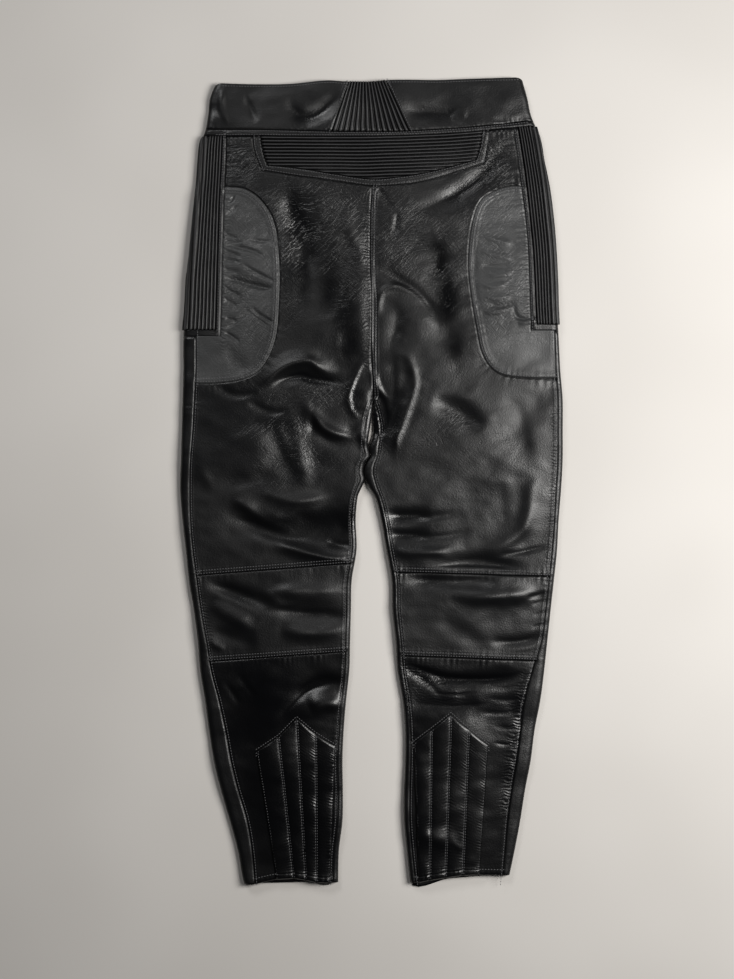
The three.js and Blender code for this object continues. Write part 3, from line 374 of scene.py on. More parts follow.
# Smooth lines
def line(rows, key, value):
    """Reads a table as a smooth line, from one column to another."""
    order = np.argsort(rows[key])
    at, found = rows[key][order], rows[value][order]
    last = len(at) - 1
    places = np.arange(last + 1)
    before, after = np.maximum(places - 1, 0), np.minimum(places + 1, last)
    slope = (found[after] - found[before]) / (at[after] - at[before])

    def read(wanted):
        wanted = np.asarray(wanted, float)
        i = np.clip(np.searchsorted(at[1:last], wanted), 0, last - 1)
        width = at[i + 1] - at[i]
        t = np.clip((wanted - at[i]) / width, 0, 1)
        rise = found[i + 1] - found[i]
        bend_in = (slope[i] * width - rise) * (1 - t)
        bend_out = (rise - slope[i + 1] * width) * t
        return found[i] + t * rise + t * (1 - t) * (bend_in + bend_out)

    return read


def run_of(path):
    """Length of the way from the start to each point of a path."""
    return np.concatenate([[0], np.cumsum(np.hypot(*np.diff(path, axis=0).T))])


def at_lengths(path, run, wanted):
    return np.stack([np.interp(wanted, run, path[:, k]) for k in (0, 1)], -1)


def placed(points, shares):
    """Points of a smooth curve through the given ones, at shares of its length."""
    p = np.array(points, float)
    p = np.vstack([2 * p[0] - p[1], p, 2 * p[-1] - p[-2]])
    fine = []
    for i in range(1, len(p) - 2):
        t = np.linspace(0, 1, 40, endpoint=False)[:, None]
        a, b, c, d = p[i - 1], p[i], p[i + 1], p[i + 2]
        fine.append(0.5 * (2 * b + (c - a) * t + (2 * a - 5 * b + 4 * c - d) * t ** 2
                           + (3 * b - a - 3 * c + d) * t ** 3))
    fine = np.vstack(fine + [p[-2][None]])
    run = run_of(fine)
    return at_lengths(fine, run, np.asarray(shares) * run[-1])


def spaced(points, count):
    return placed(points, np.linspace(0, 1, count + 1))


def mix(a, b, t):
    return a + (b - a) * t


def upright(read, y):
    """Places on a line that is read by its height."""
    return np.stack([read(y), y], -1)


def level(x, read):
    """Places on a line that is read by its place across."""
    return np.stack([x, read(x)], -1)


centre_x = line(CENTRE, "y", "x")
waist_top = line(WAIST, "x", "top")
strip_top = line(WAIST, "x", "strip_top")
strip_low = line(WAIST, "x", "strip_low")
outseam = {side: line(OUTSEAMS, "y", side) for side in SIDES_OF_BODY}
inseam = {side: line(INNER, "y", side + "_seam") for side in SIDES_OF_BODY}
outer_edge = {"left": (line(SIDES, "y", "left"), 1), "right": (line(SIDES, "y", "right"), -1)}
inner_edge = {"left": (line(INNER, "y", "left_edge"), -1),
              "right": (line(INNER, "y", "right_edge"), 1)}
binding_outer = {side: line(BINDING, "y", side + "_outer") for side in SIDES_OF_BODY}
binding_inner = {side: line(BINDING, "y", side + "_inner") for side in SIDES_OF_BODY}


# Height of the back over the floor
FAR = 3.2                  # how many half widths a fold or crease reaches
FOLD_DEPTH = 1.2           # by how much the rises of the folds and creases are multiplied
CREASE_DEPTH = 1.15
SUNK_START = 1.0           # depth below the flat back where the hide starts to get smoother
SUNK_RANGE = 2.2
GATHER_FADE = 20           # length over which puckers fade at the end of a gathered seam


def along_path(path, x, y):
    """Distance from a path, the way along it, its whole length, and which side of it."""
    start, run = path[:-1], np.diff(path, axis=0)
    length = np.hypot(run[:, 0], run[:, 1])
    off_x, off_y = x[:, None] - start[:, 0], y[:, None] - start[:, 1]
    t = np.clip((off_x * run[:, 0] + off_y * run[:, 1]) / length ** 2, 0, 1)
    off_x, off_y = off_x - t * run[:, 0], off_y - t * run[:, 1]
    distance = np.hypot(off_x, off_y)
    near = distance.argmin(1)
    row = np.arange(len(x))
    done = np.concatenate([[0], np.cumsum(length)])
    way = done[near] + t[row, near] * length[near]
    side = run[near, 0] * off_y[row, near] - run[near, 1] * off_x[row, near]
    return distance[row, near], way, done[-1], side


def near_path(path, reach, x, y):
    """Numbers of the places that lie within reach of a path's frame."""
    low, high = path.min(0) - reach, path.max(0) + reach
    return np.flatnonzero((x > low[0]) & (x < high[0]) & (y > low[1]) & (y < high[1]))


def through_middle(row):
    """A curve from the start to the end of a fold, through its middle point."""
    start, via, end = (np.array(row[i:i + 2], float) for i in (0, 2, 4))
    pull = 2 * via - (start + end) / 2
    t = np.linspace(0, 1, 15)[:, None]
    return (1 - t) ** 2 * start + 2 * t * (1 - t) * pull + t ** 2 * end


# Each fold or crease: its path, its half widths to the left and right, and its rise
WAVES = [(through_middle(row), row[6], row[7], FOLD_DEPTH * row[8]) for row in FOLDS]
WAVES += [(spaced(path, 6 * len(path)), *np.broadcast_to(width, 2), CREASE_DEPTH * rise)
          for rise, width, path in CREASES]

# Upright seams that draw the hide in: the seam, its side, from where to where, and the reach
GATHERED_SEAMS = [
    (centre_x, -1, 362, 135, 14), (outseam["right"], -1, -225, -420, 18),
    (outseam["right"], -1, 100, -110, 10), (binding_inner["left"], 1, 365, 150, 13),
    (binding_inner["right"], -1, 365, 190, 9), (outseam["left"], 1, -130, -215, 12),
]
# Patches of the hide: the middle, the reach across and down, and how strong they are.
# First bends with fine puckers
GATHERED_BENDS = [(50, -243, 34, 20, 0.45), (95, -262, 30, 16, 0.45)]
# Places with a net of fine wrinkles
WORN_PLACES = [
    (-70, 335, 60, 34, 0.75), (-105, 262, 20, 60, 0.4), (-30, 270, 22, 60, 0.7),
    (-160, 405, 20, 24, 1.0), (150, 405, 26, 26, 0.8), (60, 300, 60, 60, 0.5),
    (-155, 240, 34, 90, 0.55), (160, 240, 34, 90, 0.45), (-60, 110, 60, 16, 0.7),
    (90, 60, 50, 40, 0.35), (-100, 40, 60, 40, 0.3), (50, -245, 36, 22, 0.8),
]
# Places where the hide is least rubbed and smoothest
SMOOTH_PLACES = [
    (-62, -46, 70, 18, 2.0), (-20, 102, 12, 28, 2.2), (9, 76, 12, 30, 2.2),
    (-96, 318, 9, 40, 1.4), (-84, 262, 11, 36, 1.4), (-52, 250, 14, 40, 1.5),
    (-30, 185, 17, 46, 2.0), (-126, -275, 60, 60, 1.0), (-92, -410, 60, 80, 0.9),
    (-110, 74, 50, 12, 0.8), (86, 278, 12, 28, 2.3), (94, 222, 14, 36, 2.3),
    (106, 158, 15, 28, 2.2), (30, 90, 8, 50, 1.2),
]


def body(x, y):
    """The top of the back as it lies, without its seams."""
    shape = np.shape(x)
    x, y = np.ravel(x).astype(float), np.ravel(y).astype(float)
    z = np.full(len(x), float(LAY_HEIGHT))
    for sx, sy, across, along, rise in zip(*SWELLS.values()):
        z += rise * np.exp(-((x - sx) / across) ** 2 - ((y - sy) / along) ** 2)
    for path, to_left, to_right, rise in WAVES:
        at = near_path(path, FAR * max(to_left, to_right), x, y)
        if len(at):
            distance, way, whole, side = along_path(path, x[at], y[at])
            width = np.where(side > 0, to_left, to_right)
            share = 1 - (2 * way / whole - 1) ** 2
            z[at] += rise * share ** 2 * (3 - 2 * share) * np.exp(-(distance / width) ** 2)
    z += slack(x, y)
    over = z - LEAST_HEIGHT
    z = LEAST_HEIGHT + (over + np.hypot(over, CLAMP_SOFTNESS)) / 2
    return z.reshape(shape)


def strongest(patches, x, y, least=0.0):
    """The strongest of several soft round patches at each place, or the least value."""
    for middle_x, middle_y, across, along, strength in patches:
        out = ((x - middle_x) / across) ** 2 + ((y - middle_y) / along) ** 2
        least = np.maximum(least, strength * np.exp(-out))
    return least


def smoothness(x, y):
    """0 on the rubbed tops of the folds, 1 and more in the troughs and the smoothest places."""
    sunk = (LAY_HEIGHT - SUNK_START - body(x, y)) / SUNK_RANGE
    return strongest(SMOOTH_PLACES, x, y, np.clip(sunk, 0, 1))


def gathered(x, y):
    """How far the stitching of an upright seam, or a bend, draws the hide into fine puckers."""
    total = np.zeros(np.shape(x))
    for seam_x, turn, high, low, reach in GATHERED_SEAMS:
        away = turn * (x - seam_x(y))
        ends = np.clip(np.minimum(high - y, y - low) / GATHER_FADE, 0, 1)
        beside = np.clip(away / 2, 0, 1) * np.clip(1.5 * (1 - away / reach), 0, 1)
        total = np.maximum(total, ends * beside)
    return strongest(GATHERED_BENDS, x, y, total)


def wrinkled(x, y):
    """Where the hide is worn into a net of fine wrinkles."""
    return strongest(WORN_PLACES, x, y)


# Slack of the hide, low uneven waves from a lattice of fixed random heights: each row has its
# rise, its length across and along, and its start in the lattice
LATTICE_SIZE = 64
LATTICE = np.random.default_rng(11).uniform(-1, 1, (LATTICE_SIZE, LATTICE_SIZE))
LATTICE_START = 20
SLACK = [(1.5, 60, 44, 3), (0.7, 30, 19, 17), (0.28, 15, 9, 41)]
SWAY = 0.35                # of the waves to the side, and its two lengths
SWAY_LENGTHS = (53, 47)


def slack(x, y):
    total = 0
    for rise, across, along, start in SLACK:
        u = x / across + SWAY * np.sin(y / SWAY_LENGTHS[0]) + start + LATTICE_START
        v = y / along + SWAY * np.sin(x / SWAY_LENGTHS[1]) + 2 * start + LATTICE_START
        i, j = np.floor(u).astype(int), np.floor(v).astype(int)
        s, t = (part * part * (3 - 2 * part) for part in (u - i, v - j))
        low, high = (mix(LATTICE[i % LATTICE_SIZE, row % LATTICE_SIZE],
                         LATTICE[(i + 1) % LATTICE_SIZE, row % LATTICE_SIZE], s)
                     for row in (j, j + 1))
        total = total + rise * mix(low, high, t)
    return total


# Seams
def column(read, top, low, count=60):
    return upright(read, np.linspace(top, low, count))


def seam_row(side, row):
    out_y, in_y = LEG_ROWS[side][row]
    return np.array([(outseam[side](out_y), out_y), (inseam[side](in_y), in_y)], float)


def across_waist(read, left=-205, right=206):
    return level(np.linspace(left, right, 80), read)


def insert_end(side, down):
    x = mix(INSERT[side][0], INSERT[side][1], down)
    return np.stack([x, mix(waist_top(x), strip_top(x), down)], -1)


BESIDE = 2.4               # from a seam to its first row of stitches
HEM = 7.5                  # from the hem's edge to its row of stitches
YOKE_PARTS = ("left_end", "foot", "right_end")


def hem_path(side):
    """The hem of a calf, from its outseam to its inseam."""
    hem = [(c, d) for _, _, c, d in CALF_LINES[side]]
    hem[0] = (float(outseam[side](hem[0][1])), hem[0][1])
    hem[-1] = (float(inseam[side](hem[-1][1])), hem[-1][1])
    return np.array(hem)


# Each seam: its path, the depth of its dip, the rows of stitches beside it (distances to the left
# of the path), its lap, and its puckers (rise, length of a pucker, reach to the left and right)
def side_seams(side, turn):
    near = turn * BESIDE
    return {
        "hip": (spaced(HIP_CURVES[side], 90), 1.1, (-near, -turn * 6.2), 0.8, (0.35, 8.5, 9, 9)),
        "outseam": (column(outseam[side], 190, -500), 0.6, (near,), 0.35, (0.3, 6.1, 7, 7)),
        "inseam": (column(inseam[side], 100, -500), 0.5, (-near,), 0.3, (0.35, 6.7, 6, 6)),
        "knee_top": (seam_row(side, "knee_top"), 1.0, (near, turn * 6.0), 0.55,
                     (0.4, 7.3, 8, 8)),
        "knee_low": (seam_row(side, "knee_low"), 1.0, (near, turn * 6.0), 0.55,
                     (0.45, 6.4, 9, 9)),
        "binding_in": (column(binding_inner[side], 437, BINDING_END[side]), 1.0,
                       (-turn * 1.6,), 0.2, (0.5, 7.9, *((13, 3) if turn > 0 else (3, 13)))),
        "binding_out": (column(binding_outer[side], 437, STRETCH_END[side]), 1.0,
                        (turn * 1.6,), 0.25, (0.1, 6, 3, 3)),
        "insert": (insert_end(side, np.linspace(0, 1, 12)), 0.9, (-near,), 0.5,
                   (0.25, 6, 5, 5)),
        "hem": (hem_path(side), 0.8, (turn * HEM,), 0.6, (0.3, 6.5, 8, 8)),
    }


def seams():
    found = {"centre": (column(centre_x, 369, 107), 1.0, (2.3, 5.8), 0.5, (0.1, 4.2, 3, 12))}
    for side, turn in (("left", 1), ("right", -1)):
        found.update({f"{name}_{side}": seam for name, seam in side_seams(side, turn).items()})
    found["strip_top"] = across_waist(strip_top), 1.0, (), 0.1, (0.25, 7, 6, 3)
    found["strip_low"] = across_waist(strip_low), 1.0, (), 0.1, (0.35, 6, 3, 8)
    for part in YOKE_PARTS:
        outer, inner = spaced(YOKE_OUTER[part], 60), spaced(YOKE_INNER[part], 60)
        found["yoke_out_" + part] = outer, 1.0, (2.0,), 0.35, (0.3, 6.5, 3, 7)
        found["yoke_in_" + part] = inner, 1.0, (-2.0,), 0.35, (0.1, 6, 3, 3)
    return found


SEAMS = seams()
SEAM_REACH = 16
DIP_WIDTH = 1.2
GROOVE = 0.55              # depth and half width of the groove that a row of stitches draws
GROOVE_WIDTH = 0.9
LAP_MARGIN = 1.6           # of the lap beyond its last row of stitches


def uneven_puckers(way, length, number):
    """Waves of uneven length and height on the way along a seam."""
    turn = 2 * math.pi * way / length
    return (np.sin(turn + 1.6 * np.sin(way * 0.13 + number))
            * (0.55 + 0.45 * np.sin(way * 0.17 + 2 * number)))


def relief(x, y):
    """What the seams add to the height: dips, laps, stitched grooves and puckers."""
    shape = np.shape(x)
    x, y = np.ravel(x).astype(float), np.ravel(y).astype(float)
    z = np.zeros(len(x))
    for number, (path, dip, rows, lap, puckers) in enumerate(SEAMS.values()):
        at = near_path(path, SEAM_REACH, x, y)
        if not len(at):
            continue
        distance, way, _, side = along_path(path, x[at], y[at])
        signed = distance * np.sign(side)
        z[at] -= dip * np.exp(-(distance / DIP_WIDTH) ** 2)
        for row in rows:
            z[at] -= GROOVE * np.exp(-((signed - row) / GROOVE_WIDTH) ** 2)
        if rows:
            width = abs(rows[-1]) + LAP_MARGIN
            middle = signed * np.sign(rows[-1]) - width / 2
            z[at] += lap * np.exp(-(middle / (width * 0.6)) ** 4)
        rise, length, to_left, to_right = puckers
        reach = np.where(side > 0, to_left, to_right)
        fade = np.clip(distance / 2, 0, 1) * np.exp(-(distance / reach) ** 2)
        z[at] += rise * uneven_puckers(way, length, number) * fade
    return z.reshape(shape)


# Points of the cloth, with the outer x, y, z and the inner x, y, z in the last axis
def on_top(x, y):
    x, y = np.broadcast_arrays(np.asarray(x, float), np.asarray(y, float))
    z = body(x, y)
    return np.stack([x, y, z + relief(x, y), x, y, z - LEATHER], -1)


def top_of(grid):
    return on_top(grid[..., 0], grid[..., 1])


def on_floor(x, y):
    x, y = np.broadcast_arrays(np.asarray(x, float), np.asarray(y, float))
    return np.stack([x, y, 0 * x, x, y, 0 * x + LEATHER], -1)


def floor_of(grid):
    return on_floor(grid[..., 0], grid[..., 1])


def on_fold(edge, y, turn, roll):
    """A point of a folded edge: turn is 90 at its top, 0 at the outline, -90 below."""
    read, inward = edge
    y, turn, roll = np.broadcast_arrays(*(np.asarray(v, float) for v in (y, turn, roll)))
    angle = np.radians(turn)
    shift, lift = 1 - np.cos(angle), np.sin(angle)
    x = read(y)
    reach = np.where(turn > 0, roll, UNDER_ROLL)
    top_x = x + inward * roll
    middle = body(top_x, y) / 2
    seam = relief(top_x, y) * np.clip(lift, 0, 1)
    inset = LEATHER + (reach - LEATHER) * shift
    return np.stack([
        x + inward * reach * shift, y, middle * (1 + lift) + seam,
        x + inward * inset, y, middle + (middle - LEATHER) * lift,
    ], -1)


def side_point(edge, y, inset):
    """A point by its distance in from the outline, or below zero, underneath."""
    read, inward = edge
    y, inset = np.broadcast_arrays(np.asarray(y, float), np.asarray(inset, float))
    roll = np.where(inset >= 0, OUTER_ROLL, UNDER_ROLL)
    folded = on_fold(edge, y, np.clip(90 * inset / roll, -90, 90), OUTER_ROLL)
    place = read(y) + inward * np.abs(inset)
    top, floor = on_top(place, y), on_floor(place, y)
    inset = inset[..., None]
    return np.where(inset >= OUTER_ROLL, top, np.where(inset > -UNDER_ROLL, folded, floor))


# Meshes
def steps(count):
    return np.linspace(0, 1, count + 1)


def crowded(count, crowd=2.0, reach=0.09):
    """Shares from 0 to 1 that lie closer together at both ends."""
    t = np.linspace(0, 1, 2001)
    dense = 1 + crowd * (np.exp(-(t / reach) ** 2) + np.exp(-((1 - t) / reach) ** 2))
    run = np.concatenate([[0], np.cumsum((dense[1:] + dense[:-1]) / 2)])
    return np.interp(steps(count), run / run[-1], t)


def facing_out(quads, points):
    """The quads, turned so that they face away from the inner wall."""
    a, b, d = (points[quads[:, k], :3] for k in (0, 1, 3))
    out = a - points[quads[:, 0], 3:]
    return quads if (np.cross(b - a, d - a) * out).sum() > 0 else quads[:, ::-1]


def open_sides(quads, count):
    """Sides of the quads that no second quad shares."""
    sides = np.stack([quads, np.roll(quads, -1, 1)], -1).reshape(-1, 2)
    sides = sides[sides[:, 0] != sides[:, 1]]
    code = sides[:, 0] * count + sides[:, 1]
    back = sides[:, 1] * count + sides[:, 0]
    return sides[~np.isin(code, back)]


def give_values(mesh, label, values, kind="FLOAT", field="value"):
    mesh.attributes.new(label, kind, "POINT").data.foreach_set(field, values.ravel())


def give_ribs(mesh, points, counts):
    """The number of ribs counted at each point of the outer wall, and which way they rise."""
    outward = points[:, :3] - points[:, 3:]
    outward /= np.linalg.norm(outward, axis=1)[:, None]
    give_values(mesh, "rib", np.concatenate([counts, 0 * counts]))
    give_values(mesh, "outward", np.vstack([outward, 0 * outward]), "FLOAT_VECTOR", "vector")


def panel(name, node, slot, material, grids, ribs=None):
    """One closed wall from grids of points that share their meeting lines."""
    points = np.vstack([grid.reshape(-1, 6) for grid in grids])
    _, first, number = np.unique(
        np.round(points[:, :3] * 100).astype(np.int64), axis=0, return_index=True,
        return_inverse=True)
    number = number.ravel()
    points = points[first]
    faces, start = [], 0
    for grid in grids:
        rows, columns = grid.shape[:2]
        index = number[start:start + rows * columns].reshape(rows, columns)
        start += rows * columns
        quads = np.stack([index[:-1, :-1], index[:-1, 1:], index[1:, 1:], index[1:, :-1]],
                         -1).reshape(-1, 4)
        faces.append(facing_out(quads, points))
    quads = np.vstack(faces)
    under = len(points)
    rim = open_sides(quads, under)
    draw_back(points, rim)
    polygons = [tuple(dict.fromkeys(quad)) for quad in quads.tolist()]
    polygons = [polygon for polygon in polygons if len(polygon) > 2]
    inner = [tuple(under + v for v in reversed(polygon)) for polygon in polygons]
    border = [(b, a, under + a, under + b) for a, b in rim.tolist()]
    mesh = bpy.data.meshes.new(name)
    places = np.vstack([points[:, :3], points[:, 3:]]) * MM
    mesh.from_pydata(places.tolist(), [], polygons + inner + border)
    mesh.validate()
    mesh.polygons.foreach_set("use_smooth", np.ones(len(mesh.polygons), bool))
    on_back = points[:, 2] > LEATHER
    for label, measure in (("smoothness", smoothness), ("gathered", gathered),
                           ("worn", wrinkled)):
        values = measure(points[:, 0], points[:, 1]) * on_back
        give_values(mesh, label, np.concatenate([values, values]))
    if ribs is not None:
        give_ribs(mesh, points, ribs.ravel()[first])
    obj = bpy.data.objects.new(name, mesh)
    bpy.context.collection.objects.link(obj)
    mesh.materials.append(material)
    obj["node"], obj["slot"] = node, slot
    return obj


def draw_back(points, rim):
    """Draws the rim back by half a seam gap, along the surface."""
    outward = points[rim[:, 0], :3] - points[rim[:, 0], 3:]
    run = points[rim[:, 1], :3] - points[rim[:, 0], :3]
    inward = np.cross(outward, run)
    inward /= np.maximum(np.linalg.norm(inward, axis=1), 1e-9)[:, None]
    pull = np.zeros((len(points), 3))
    np.add.at(pull, rim[:, 0], inward)
    np.add.at(pull, rim[:, 1], inward)
    length = np.linalg.norm(pull, axis=1)
    at = length > 1e-6
    step = SEAM_GAP / 2 / np.maximum(length[at] / 2, 0.5)
    move = pull[at] / length[at][:, None] * step[:, None]
    points[at, :3] += move
    points[at, 3:] += move


def between(near, far, top, foot, across=None, down=None):
    """Places filled in between four border lines."""
    across = steps(len(top) - 1) if across is None else across
    down = steps(len(near) - 1) if down is None else down
    u, v = (share[..., None] for share in np.meshgrid(across, down))
    near, far, top, foot = (np.asarray(side) for side in (near, far, top, foot))
    sides = mix(near[:, None], far[:, None], u) + mix(top[None], foot[None], v)
    corners = mix(mix(top[0], top[-1], u), mix(foot[0], foot[-1], u), v)
    return sides - corners


def rows_between(outer, inner, shares):
    """Straight rows of places from an outer line to an inner one."""
    return mix(outer[:, None], inner[:, None], shares[None, :, None])


# Materials
def new_material(name):
    material = bpy.data.materials.new(name)
    material.use_nodes = True
    tree = material.node_tree
    return material, tree, tree.nodes["Principled BSDF"]


def add(tree, kind, inputs=None, **settings):
    node = tree.nodes.new(kind)
    for key, value in settings.items():
        setattr(node, key, value)
    for key, value in (inputs or {}).items():
        if isinstance(value, bpy.types.NodeSocket):
            tree.links.new(value, node.inputs[key])
        else:
            node.inputs[key].default_value = value
    return node


def object_place(tree, turn=0.0):
    """Object coordinates, turned about the upright axis."""
    place = add(tree, "ShaderNodeTexCoord").outputs["Object"]
    return add(tree, "ShaderNodeMapping", {"Vector": place, "Rotation": (0, 0, turn)}
               ).outputs["Vector"]


def value_of(tree, label):
    return add(tree, "ShaderNodeAttribute", attribute_name=label).outputs["Fac"]


def noise(tree, vector, scale, detail=3.0, roughness=0.55, distortion=0.0):
    return add(tree, "ShaderNodeTexNoise", {
        "Vector": vector, "Scale": scale, "Detail": detail, "Roughness": roughness,
        "Distortion": distortion}).outputs["Fac"]


def ramp(tree, fac, low, high, from_value=0.0, to_value=1.0):
    return add(tree, "ShaderNodeMapRange", {
        "Value": fac, "From Min": low, "From Max": high, "To Min": from_value,
        "To Max": to_value}, interpolation_type="SMOOTHSTEP").outputs["Result"]


def maths(tree, operation, a, b=0.0):
    return add(tree, "ShaderNodeMath", {0: a, 1: b}, operation=operation).outputs[0]


def times(tree, a, b):
    return maths(tree, "MULTIPLY", a, b)


def two_tone(tree, shader, fac, first, second):
    """Base colour between two tones."""
    tone = add(tree, "ShaderNodeMix", {0: fac, 6: (*first, 1), 7: (*second, 1)},
               data_type="RGBA")
    tree.links.new(tone.outputs[2], shader.inputs["Base Color"])


def embossed(tree, shader, layers):
    """Layers of fine relief, one over the other: height, strength and depth in metres."""
    below = {}
    for height, strength, depth in layers:
        bump = add(tree, "ShaderNodeBump", {"Height": height, "Strength": strength,
                                             "Distance": depth, **below})
        below = {"Normal": bump.outputs[0]}
    tree.links.new(bump.outputs[0], shader.inputs["Normal"])


# Fine creases of the hide in three directions: stretch, turn, scale, and scale of their patches
HIDE_LINES = [(0.16, 0.85, 300.0, 21.0), (0.18, -0.8, 270.0, 26.0), (0.14, 1.5, 260.0, 18.0)]
# Scales of the patterns, in about so many grains to a metre
PEBBLE_SCALE = 560.0
FINE_SCALE = 420.0
UNEVEN_SCALE = 17.0
RUBBED_SCALE = 9.0
PUCKER_TURNS = 1500.0      # radians of pucker waves in a metre


def fine_creases(tree, place, worn):
    """A net of fine valleys, deep where the hide is worn: 1 on the hide, less in the valleys."""
    net = maths(tree, "ADD", worn, 0.06)
    creases = None
    for stretch, turn, scale, patch_scale in HIDE_LINES:
        laid = add(tree, "ShaderNodeVectorMath", {0: object_place(tree, turn),
                                                   1: (1, stretch, 1)},
                   operation="MULTIPLY").outputs[0]
        middle = maths(tree, "SUBTRACT", noise(tree, laid, scale, 0.6, 0.5, 0.5), 0.5)
        valley = ramp(tree, maths(tree, "ABSOLUTE", middle), 0.0, 0.07)
        where = times(tree, ramp(tree, noise(tree, place, patch_scale, 1.0), 0.4, 0.6), net)
        sunk = times(tree, maths(tree, "SUBTRACT", valley, 1.0), where)
        valley = maths(tree, "ADD", sunk, 1.0)
        creases = valley if creases is None else times(tree, creases, valley)
    return creases


def puckers_of(tree, place):
    """Waves across a gathered seam, as strong as its stitching draws."""
    height = add(tree, "ShaderNodeSeparateXYZ", {0: place}).outputs[1]
    swing = maths(tree, "ADD", times(tree, height, PUCKER_TURNS),
                  times(tree, noise(tree, place, 80.0, 1.0), 16.0))
    return times(tree, maths(tree, "SINE", swing), value_of(tree, "gathered"))


def leather(name, dark, pale, rough, wrinkle, grain):
    """Cowhide with rubbed tops: two tones, roughness, and how strong its wrinkles and grain are."""
    material, tree, shader = new_material(name)
    place = object_place(tree)
    pebbles = add(tree, "ShaderNodeTexVoronoi", {"Vector": place, "Scale": PEBBLE_SCALE,
                                                  "Randomness": 1.0}).outputs["Distance"]
    fine = noise(tree, place, FINE_SCALE)
    uneven = noise(tree, place, UNEVEN_SCALE, 2.0, 0.5, 0.4)
    creases = fine_creases(tree, place, value_of(tree, "worn"))
    puckers = puckers_of(tree, place)
    rubbed = ramp(tree, noise(tree, place, RUBBED_SCALE, 3.0, 0.6, 0.4), 0.35, 0.68)
    two_tone(tree, shader, times(tree, rubbed, ramp(tree, fine, 0.3, 0.7, 0.6, 1.0)), dark, pale)
    both = maths(tree, "ADD", times(tree, fine, 0.5), times(tree, rubbed, 0.5))
    roughness = ramp(tree, both, 0.2, 0.8, rough + 0.05, rough - 0.05)
    smoother = times(tree, value_of(tree, "smoothness"), 0.1)
    tree.links.new(maths(tree, "SUBTRACT", roughness, smoother), shader.inputs["Roughness"])
    embossed(tree, shader, [(puckers, 0.5, 0.0003), (creases, wrinkle, 0.0006),
                            (uneven, 0.35, 0.004), (pebbles, grain, 0.0004)])
    return material


def knit(name, colour, painted_highlight_colour, scale):
    """Elastic rib fabric: matt, with a fine cross weave and a painted highlight on the crests of
    its ribs.
    """
    material, tree, shader = new_material(name)
    weave = noise(tree, object_place(tree), scale, 2.0)
    wave = maths(tree, "SINE", times(tree, value_of(tree, "rib"), math.pi))
    # The crests of the ribs get a paler base colour: a painted highlight.
    painted_crest_highlight = ramp(tree, maths(tree, "ABSOLUTE", wave), 0.7, 1.0)
    painted_lit_crests = times(tree, painted_crest_highlight, ramp(tree, weave, 0.3, 0.7, 0.6, 1.0))
    two_tone(tree, shader, painted_lit_crests, colour, painted_highlight_colour)
    shader.inputs["Roughness"].default_value = 0.42
    shader.inputs["Specular IOR Level"].default_value = 0.32
    embossed(tree, shader, [(weave, 0.5, 0.0004)])
    return material


def plain(name, colour, rough):
    material, _, shader = new_material(name)
    shader.inputs["Base Color"].default_value = (*colour, 1)
    shader.inputs["Roughness"].default_value = rough
    return material


HIDE = leather("black_hide", (0.0009, 0.0009, 0.0012), (0.0028, 0.003, 0.0035), 0.4, 0.6, 0.3)
CALF_HIDE = leather("smooth_calf_hide", (0.0006, 0.0006, 0.0009), (0.0018, 0.0019, 0.0024), 0.32,
                    0.25, 0.22)
# The hip panels use the same black hide with a paler base colour: a painted sheen where it catches
# the light.
HIP_HIDE_PAINTED_SHEEN = leather("hip_hide_painted_sheen", (0.017, 0.0175, 0.018), (0.052, 0.053, 0.054), 0.44, 0.8,
                   0.3)
# The second colour of the rib fabric is a painted highlight on the crests of its ribs.
RIBBED = knit("ribbed_stretch_fabric", (0.0006, 0.0006, 0.0008), (0.048, 0.048, 0.05), 900.0)
THREAD = plain("grey_black_thread", (0.11, 0.11, 0.115), 0.5)


# Geometry Nodes: the ribs of the stretch panels and the rows of stitches
def new_tree(name, inputs):
    tree = bpy.data.node_groups.new(name, "GeometryNodeTree")
    tree.interface.new_socket("Geometry", in_out="INPUT", socket_type="NodeSocketGeometry")
    for label, kind in inputs:
        tree.interface.new_socket(label, in_out="INPUT", socket_type=kind)
    tree.interface.new_socket("Geometry", in_out="OUTPUT", socket_type="NodeSocketGeometry")
    return tree, tree.nodes.new("NodeGroupInput"), tree.nodes.new("NodeGroupOutput")


def finish_tree(tree, geometry, material, output):
    real = add(tree, "GeometryNodeRealizeInstances", {"Geometry": geometry})
    painted = add(tree, "GeometryNodeSetMaterial", {"Geometry": real.outputs[0],
                                                     "Material": material})
    tree.links.new(painted.outputs[0], output.inputs[0])


def rib_tree():
    tree, given, output = new_tree("raised_ribs", [
        ("Rise", "NodeSocketFloat"), ("Fullness", "NodeSocketFloat"),
        ("Material", "NodeSocketMaterial")])
    count = add(tree, "GeometryNodeInputNamedAttribute", {"Name": "rib"}, data_type="FLOAT")
    out = add(tree, "GeometryNodeInputNamedAttribute", {"Name": "outward"},
              data_type="FLOAT_VECTOR")
    wave = maths(tree, "SINE", times(tree, count.outputs[0], math.pi))
    wave = maths(tree, "ABSOLUTE", wave)
    full = maths(tree, "POWER", wave, given.outputs["Fullness"])
    rise = times(tree, full, given.outputs["Rise"])
    move = add(tree, "ShaderNodeVectorMath", {0: out.outputs[0], "Scale": rise},
               operation="SCALE")
    moved = add(tree, "GeometryNodeSetPosition", {"Geometry": given.outputs["Geometry"],
                                                   "Offset": move.outputs[0]})
    finish_tree(tree, moved.outputs[0], given.outputs["Material"], output)
    return tree


